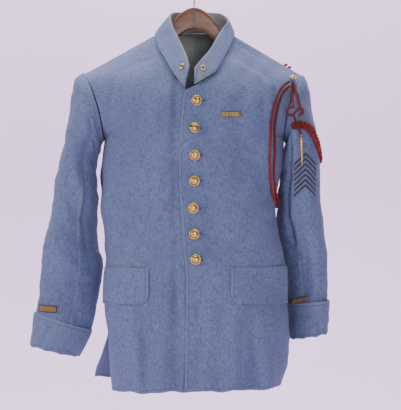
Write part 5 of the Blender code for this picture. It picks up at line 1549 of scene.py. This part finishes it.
def build_collar_metal():
    """A plain oval eyelet on each collar end, and the hook and eye between the ends."""
    sheets = [MADE["collar", "left"], MADE["collar", "right"]]
    turn = np.linspace(0, -2 * math.pi, 25)
    profile = [(0.0036 + 0.0012 * math.cos(a), 0.0017 + 0.0012 * math.sin(a)) for a in turn]
    for (x, z), hand in zip(EYELETS, ("right", "left")):
        seat, facing = drop_on(sheets, np.array([[x]]), np.array([[z]]))
        made = lathe(f"metal_eyelet_{hand}", profile, "brass", seat[0, 0], facing[0, 0], tall=1.25, ring=True)
        placed(made, "brass", f"collar_eyelet_{hand}")
    for name, (legs, loop) in FASTENING.items():
        ends = np.array(legs)
        seats, facing = drop_on(sheets, ends[None, :, 0], ends[None, :, 1])
        first, last = (seats + facing * (FASTENING_WIRE / 2 + 0.0008))[0]
        path = rounded_path([first, *loop, last], 0.0004)
        placed(tubes(f"metal_{name}", [path], FASTENING_WIRE / 2, "wire", sides=12), "black_metal", name)


def declared(made, name, line, diameter, **facts):
    """Keeps a cord's length, the length of the line it follows, under its name."""
    long = float(np.linalg.norm(np.diff(line, axis=0), axis=1).sum())
    facts = {"far_end": "object", "stiffness": "limp", "lay": "hanging", **facts}
    MADE.setdefault("cords", {})[name] = round(long, 4)


def twisted(path, diameter, pitch=0.0105):
    """Three strands laid round a path: each is a helix 0.34 of the diameter out from it, which
    turns once in each pitch."""
    rings, _ = tube_rings(path, 1.0, sides=4)
    middle = rings.mean(axis=1)
    run = np.concatenate([[0], np.cumsum(np.linalg.norm(np.diff(path, axis=0), axis=1))])
    side, other = rings[:, 0] - rings[:, 2], rings[:, 1] - rings[:, 3]
    side /= np.linalg.norm(side, axis=1, keepdims=True) + 1e-12
    other /= np.linalg.norm(other, axis=1, keepdims=True) + 1e-12
    strands = []
    for k in range(3):
        turn = 2 * math.pi * (run / pitch + k / 3)[:, None]
        strands.append(path + 0.34 * diameter * (side * np.cos(turn) + other * np.sin(turn)))
    return strands


def build_cords():
    """The shoulder cord: two plain cords round under the arm, a braid round the sleeve, a knot of
    loops on two short drops, and a pendant with its ferrule."""
    sheets = [MADE[key, 1] for key in ("front", "back", "upper", "under")]
    red = "red_cord"
    for name in ("cord_outer", "cord_inner"):
        path = clear_of(sheets, spline_through(solid_route(name), 90), CORD / 2 + CORD_CLEARANCE)
        fine = rounded_path(path, 0.0012)
        made = tubes(f"red_{name}", twisted(fine, CORD), CORD * STRAND, "cord", sides=14)
        placed(made, red, name)
        declared(made, name, fine[::4], CORD)
    path = spline_through(solid_route("cord_braid"), 24)
    fine = spline_through(path, 330)
    out = fine - nearest(sheets, fine, 4)[0].mean(axis=1)
    for _ in range(40):
        out = np.concatenate([out[:1], (out[:-2] + out[1:-1] + out[2:]) / 3, out[-1:]])
    heading = np.gradient(fine, axis=0)
    heading /= np.linalg.norm(heading, axis=1, keepdims=True)
    out -= (out * heading).sum(axis=1, keepdims=True) * heading
    out /= np.linalg.norm(out, axis=1, keepdims=True)
    wide = np.cross(heading, out)
    run = np.concatenate([[0], np.cumsum(np.linalg.norm(np.diff(fine, axis=0), axis=1))])[:, None]
    ends = np.clip(np.minimum(run, run[-1] - run) / 0.012, 0, 0.5)
    close = np.sin(math.pi * ends)
    strands = []
    for k in range(3):
        turn = 2 * math.pi * (run / BRAID_PITCH + k / 3)
        sway = wide * 0.0050 * np.sin(turn) + out * 0.0017 * np.sin(2 * turn)
        strands.append(fine + sway * close)
    made = tubes("red_cord_braid", strands, 0.0029, "strand", lobes=3, pitch=0.010, sides=20)
    placed(made, red, "cord_braid")
    declared(made, "cord_braid", fine[::5], BRAID_WIDE)
    for name, (route, diameter, count) in SHORT_CORDS.items():
        path = clear_of(sheets, spline_through(route, count), diameter / 2 + CORD_CLEARANCE)
        fine = rounded_path(path, 0.0007)
        made = tubes(f"red_{name}", twisted(fine, diameter), diameter * STRAND, "cord", sides=14)
        placed(made, red, name)
        MADE["short", name] = (made, fine[::3], diameter)
    ferrule = lathe("metal_cord_ferrule", FERRULE, "brass", FERRULE_TOP, FERRULE_WAY, (0.98, 0.8), around=40)
    placed(ferrule, "brass", "cord_ferrule")
    for name in SHORT_CORDS:
        made, line, diameter = MADE["short", name]
        last = {"far_end": "fitting", "with_pieces": (ferrule,)} if name == "cord_pendant" else {}
        declared(made, name, line, diameter, **last)


def build_hanger():
    """Two bent arms glued at the middle under a wire hook."""
    for side, hand in ((-1, "right"), (1, "left")):
        neck, tip = FRONT_EDGE[side][-1], SHOULDER_POINT[side]
        tip_round = WOOD_TIP_X - 0.004 * np.cos(np.linspace(1.45, 0.0, 10)[::-1])[::-1]
        x = np.concatenate([[0.0001], np.linspace(0.0006, WOOD_TIP_X - 0.004, 110), tip_round])
        x = np.unique(np.clip(x, 0.0001, WOOD_TIP_X))
        under = neck[3] + (tip[2] - neck[3]) * (x - abs(neck[1])) / (abs(tip[0]) - abs(neck[1]))
        drop, at, power = WOOD_ARCH
        arch = WOOD_TOP - drop * (x / at) ** power
        blend = smooth(0.050, 0.085, x)
        top = arch * (1 - blend) + (under - CLOTH - 0.0022) * blend
        height = WOOD_HEIGHT_TIP + (WOOD_HEIGHT_MIDDLE - WOOD_HEIGHT_TIP) * (1 - smooth(0, 0.17, x))
        height *= 1 - 0.35 * smooth(0.180, WOOD_TIP_X, x)
        depth = WOOD_DEPTH * (1 - 0.25 * smooth(0.05, 0.19, x))
        turn = np.linspace(0, 2 * math.pi, 73)
        turn[-1] = 0
        y = np.sign(np.sin(turn)) * np.abs(np.sin(turn)) ** 0.6
        z = np.sign(np.cos(turn)) * np.abs(np.cos(turn)) ** 0.45
        rings = np.empty((len(x), len(turn), 3))
        rings[..., 0] = side * x[:, None]
        rings[..., 1] = WOOD_BACK + depth[:, None] / 2 * y
        rings[..., 2] = (top - height / 2)[:, None] + height[:, None] / 2 * z
        middle = rings.mean(axis=1, keepdims=True)
        rings = np.concatenate([middle[:1] + 0 * rings[:1], rings, middle[-1:] + 0 * rings[-1:]])
        index = np.arange(rings.shape[0] * rings.shape[1]).reshape(rings.shape[:2])
        faces = quads(index)
        along = np.concatenate([x[:1], x, x[-1:]])[:, None] + 0 * turn
        around = rings[..., 2] + 0.4 * rings[..., 1]
        # darker at the middle where the arms meet and along each arm's top and bottom
        dark_rims_and_joint = 0.75 * np.exp(-((along / 0.0022) ** 2)) + 0.55 * (np.abs(np.cos(turn)) > 0.93)[None] + 0.1
        lie = np.stack([along * side, around + 0.3 * side], axis=-1).reshape(-1, 2)
        made = make_mesh(
            f"hanger_arm_{hand}", rings.reshape(-1, 3), faces[:, ::-1] if side > 0 else faces,
            lie, "wood", grime=np.clip(dark_rims_and_joint, 0, 1),
        )
        placed(made, "varnished_wood", f"hanger_{hand}")
    rise = HOOK_WIRE / 2 - HOOK_RADIUS
    swing = [
        (HOOK_RADIUS * math.sin(math.radians(a)), 0, rise + HOOK_RADIUS * math.cos(math.radians(a)))
        for a in range(120, -121, -20)
    ]
    shank = [(0, 0, WOOD_TOP + SEAM_GAP), (0, 0, -0.056), (0.004, 0, -0.046)]
    path = rounded_path(shank + swing, 0.0012)
    placed(tubes("hanger_wire_hook", [path], HOOK_WIRE / 2, "steel", sides=32), "steel", "hanger_hook")


def build_stage():
    """A pale backdrop that curves up from a floor, soft studio light and the camera."""
    corner = np.linspace(0, math.pi / 2, 40)
    bend = [(1.0 + 0.9 * math.sin(a), -0.35 - 0.9 * math.cos(a)) for a in corner]
    line = np.array([(-4.0, -1.25), *bend, (1.9, 4.0)])
    x = np.array([-5.0, 5.0])
    grid = np.stack(
        [x[None] + 0 * line[:, :1], line[:, :1] + 0 * x, line[:, 1:] + 0 * x], axis=-1
    )
    wall = Nodes("Pale backdrop", BACKDROP, 0.95, Specular_IOR_Level=0.1)
    fine = wall.noise(wall.place(), 3.0, 3.0)
    clouded = wall.mix(wall.range(fine, 0.4, 0.6, 0.0, 1.0), BACKDROP, times(BACKDROP, 0.985))
    wall.put(wall.surface, "Base Color", clouded)
    back = wall.add("NewGeometry", out="Backfacing")
    clear = wall.add("BsdfTransparent")
    seen = wall.add("MixShader", i0=back, i1=wall.surface.outputs[0], i2=clear)
    wall.put(wall.tree.nodes["Material Output"], "Surface", seen)
    finishes()["backdrop"] = wall.material
    index = np.arange(grid.shape[0] * 2).reshape(-1, 2)
    made = make_mesh("backdrop", grid.reshape(-1, 3), quads(index), grid[..., :2].reshape(-1, 2), "backdrop")
    made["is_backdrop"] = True
    for name, (place, aim, size, watts, colour) in LIGHTS.items():
        data = bpy.data.lights.new(name, "AREA")
        data.shape, data.size, data.energy, data.color = "SQUARE", size, watts, colour
        lamp = bpy.data.objects.new(name, data)
        lamp.location = place
        lamp.rotation_euler = (Vector(aim) - Vector(place)).to_track_quat("-Z", "Y").to_euler()
        bpy.context.scene.collection.objects.link(lamp)
        lamp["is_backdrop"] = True
    world = bpy.data.worlds.new("Soft room")
    world.use_nodes = True
    world.node_tree.nodes["Background"].inputs["Color"].default_value = ROOM_COLOUR
    world.node_tree.nodes["Background"].inputs["Strength"].default_value = ROOM_STRENGTH
    bpy.context.scene.world = world
    data = bpy.data.cameras.new("photo")
    data.sensor_fit, data.sensor_width, data.lens = "HORIZONTAL", CAMERA_SENSOR, CAMERA_LENS
    camera = bpy.data.objects.new("photo", data)
    camera.location = CAMERA_PLACE
    camera.rotation_euler = (math.radians(90), 0, 0)
    bpy.context.scene.collection.objects.link(camera)
    bpy.context.scene.camera = camera


class TunicSizes(bpy.types.PropertyGroup):
    """How the cloth hangs"""

    crease_strength: bpy.props.FloatProperty(
        name="Crease strength", description="How deep the hand-placed creases are, 1 as in the photo",
        default=1.0, min=0.0, max=1.5, subtype="FACTOR",
    )


class TunicColours(bpy.types.PropertyGroup):
    """The colours of the finishes"""

    serge: bpy.props.FloatVectorProperty(
        name="Serge", description="Colour of the wool",
        default=(0.108, 0.147, 0.262), subtype="COLOR", size=3,
    )
    lining: bpy.props.FloatVectorProperty(
        name="Lining", description="Colour of the lining",
        default=(0.330, 0.365, 0.340), subtype="COLOR", size=3,
    )
    cord: bpy.props.FloatVectorProperty(
        name="Cord", description="Colour of the shoulder cord",
        default=(0.300, 0.030, 0.020), subtype="COLOR", size=3,
    )
    brass: bpy.props.FloatVectorProperty(
        name="Brass", description="Colour of the buttons",
        default=(0.62, 0.42, 0.14), subtype="COLOR", size=3,
    )
    wood: bpy.props.FloatVectorProperty(
        name="Wood", description="Colour of the hanger",
        default=(0.200, 0.072, 0.026), subtype="COLOR", size=3,
    )


def build_once(label, build):
    """Runs a builder the first time, and raises an error after that."""
    if label in MADE:
        raise RuntimeError(f"{label} is already built")
    build()
    MADE[label] = True
    return {"FINISHED"}


class TUNIC_OT_body(bpy.types.Operator):
    """Build the fronts and the back's halves"""

    bl_idname, bl_label = "tunic.body", "Fronts and back"

    def execute(self, context):
        return build_once(self.bl_label, build_body)


class TUNIC_OT_sleeves(bpy.types.Operator):
    """Build each sleeve's upper and under piece"""

    bl_idname, bl_label = "tunic.sleeves", "Sleeves"

    def execute(self, context):
        return build_once(self.bl_label, build_sleeves)


class TUNIC_OT_cuffs(bpy.types.Operator):
    """Build the turned-back cuffs"""

    bl_idname, bl_label = "tunic.cuffs", "Cuffs"

    def execute(self, context):
        return build_once(self.bl_label, build_cuffs)


class TUNIC_OT_collar(bpy.types.Operator):
    """Build the stand collar and its lining"""

    bl_idname, bl_label = "tunic.collar", "Collar"

    def execute(self, context):
        return build_once(self.bl_label, build_collar)


class TUNIC_OT_lining(bpy.types.Operator):
    """Build the lining of the upper back"""

    bl_idname, bl_label = "tunic.lining", "Back lining"

    def execute(self, context):
        return build_once(self.bl_label, build_back_lining)


class TUNIC_OT_flaps(bpy.types.Operator):
    """Build the pocket flaps on the fronts"""

    bl_idname, bl_label = "tunic.flaps", "Pocket flaps"

    def execute(self, context):
        return build_once(self.bl_label, build_flaps)


class TUNIC_OT_buttons(bpy.types.Operator):
    """Build the buttons and the buttonholes on the left front"""

    bl_idname, bl_label = "tunic.buttons", "Buttons"

    def execute(self, context):
        return build_once(self.bl_label, build_buttons)


class TUNIC_OT_marks(bpy.types.Operator):
    """Build the ribbon bar, the chevrons and the cuff lace"""

    bl_idname, bl_label = "tunic.marks", "Ribbon, chevrons and lace"

    def execute(self, context):
        return build_once(self.bl_label, build_marks)


class TUNIC_OT_collar_metal(bpy.types.Operator):
    """Build the collar's eyelets and its hook and eye"""

    bl_idname, bl_label = "tunic.collar_metal", "Collar metal"

    def execute(self, context):
        return build_once(self.bl_label, build_collar_metal)


class TUNIC_OT_cords(bpy.types.Operator):
    """Build the shoulder cord, its knot and its ferrule"""

    bl_idname, bl_label = "tunic.cords", "Shoulder cord"

    def execute(self, context):
        return build_once(self.bl_label, build_cords)


class TUNIC_OT_hanger(bpy.types.Operator):
    """Build the wooden hanger and its hook"""

    bl_idname, bl_label = "tunic.hanger", "Hanger"

    def execute(self, context):
        return build_once(self.bl_label, build_hanger)


class TUNIC_OT_stage(bpy.types.Operator):
    """Build the backdrop, the lights and the camera"""

    bl_idname, bl_label = "tunic.stage", "Stage"

    def execute(self, context):
        return build_once(self.bl_label, build_stage)


STEPS = (
    TUNIC_OT_hanger, TUNIC_OT_body, TUNIC_OT_sleeves, TUNIC_OT_cuffs, TUNIC_OT_collar, TUNIC_OT_lining,
    TUNIC_OT_flaps, TUNIC_OT_buttons, TUNIC_OT_marks, TUNIC_OT_collar_metal, TUNIC_OT_cords, TUNIC_OT_stage,
)


class TUNIC_PT_sidebar(bpy.types.Panel):
    """The tunic's sizes, colours and steps"""

    bl_idname, bl_label = "TUNIC_PT_sidebar", "Hanging tunic"
    bl_space_type, bl_region_type, bl_category = "VIEW_3D", "UI", "Tunic"

    def draw(self, context):
        """Shows the sizes, the colours and a button for each step."""
        column = self.layout.column()
        column.prop(context.scene.tunic_sizes, "crease_strength")
        for name in ("serge", "lining", "cord", "brass", "wood"):
            column.prop(context.scene.tunic_colours, name)
        for step in STEPS:
            column.operator(step.bl_idname)


CLASSES = (TunicSizes, TunicColours, *STEPS, TUNIC_PT_sidebar)


def register():
    """Adds the classes and the two groups of settings."""
    for one in CLASSES:
        bpy.utils.register_class(one)
    bpy.types.Scene.tunic_sizes = bpy.props.PointerProperty(type=TunicSizes)
    bpy.types.Scene.tunic_colours = bpy.props.PointerProperty(type=TunicColours)


def unregister():
    """Takes them away again."""
    del bpy.types.Scene.tunic_sizes
    del bpy.types.Scene.tunic_colours
    for one in reversed(CLASSES):
        bpy.utils.unregister_class(one)


def main():
    register()
    for step in STEPS:
        group, name = step.bl_idname.split(".")
        getattr(getattr(bpy.ops, group), name)()
    sizes = {"solids": [list(corner) for corner in SOLID_BOX]}
    sizes["shown"] = [list(corner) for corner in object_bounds()]
    sizes["cuts"], sizes["cords"] = MADE["cuts"], MADE["cords"]


if __name__ == "__main__":
    main()
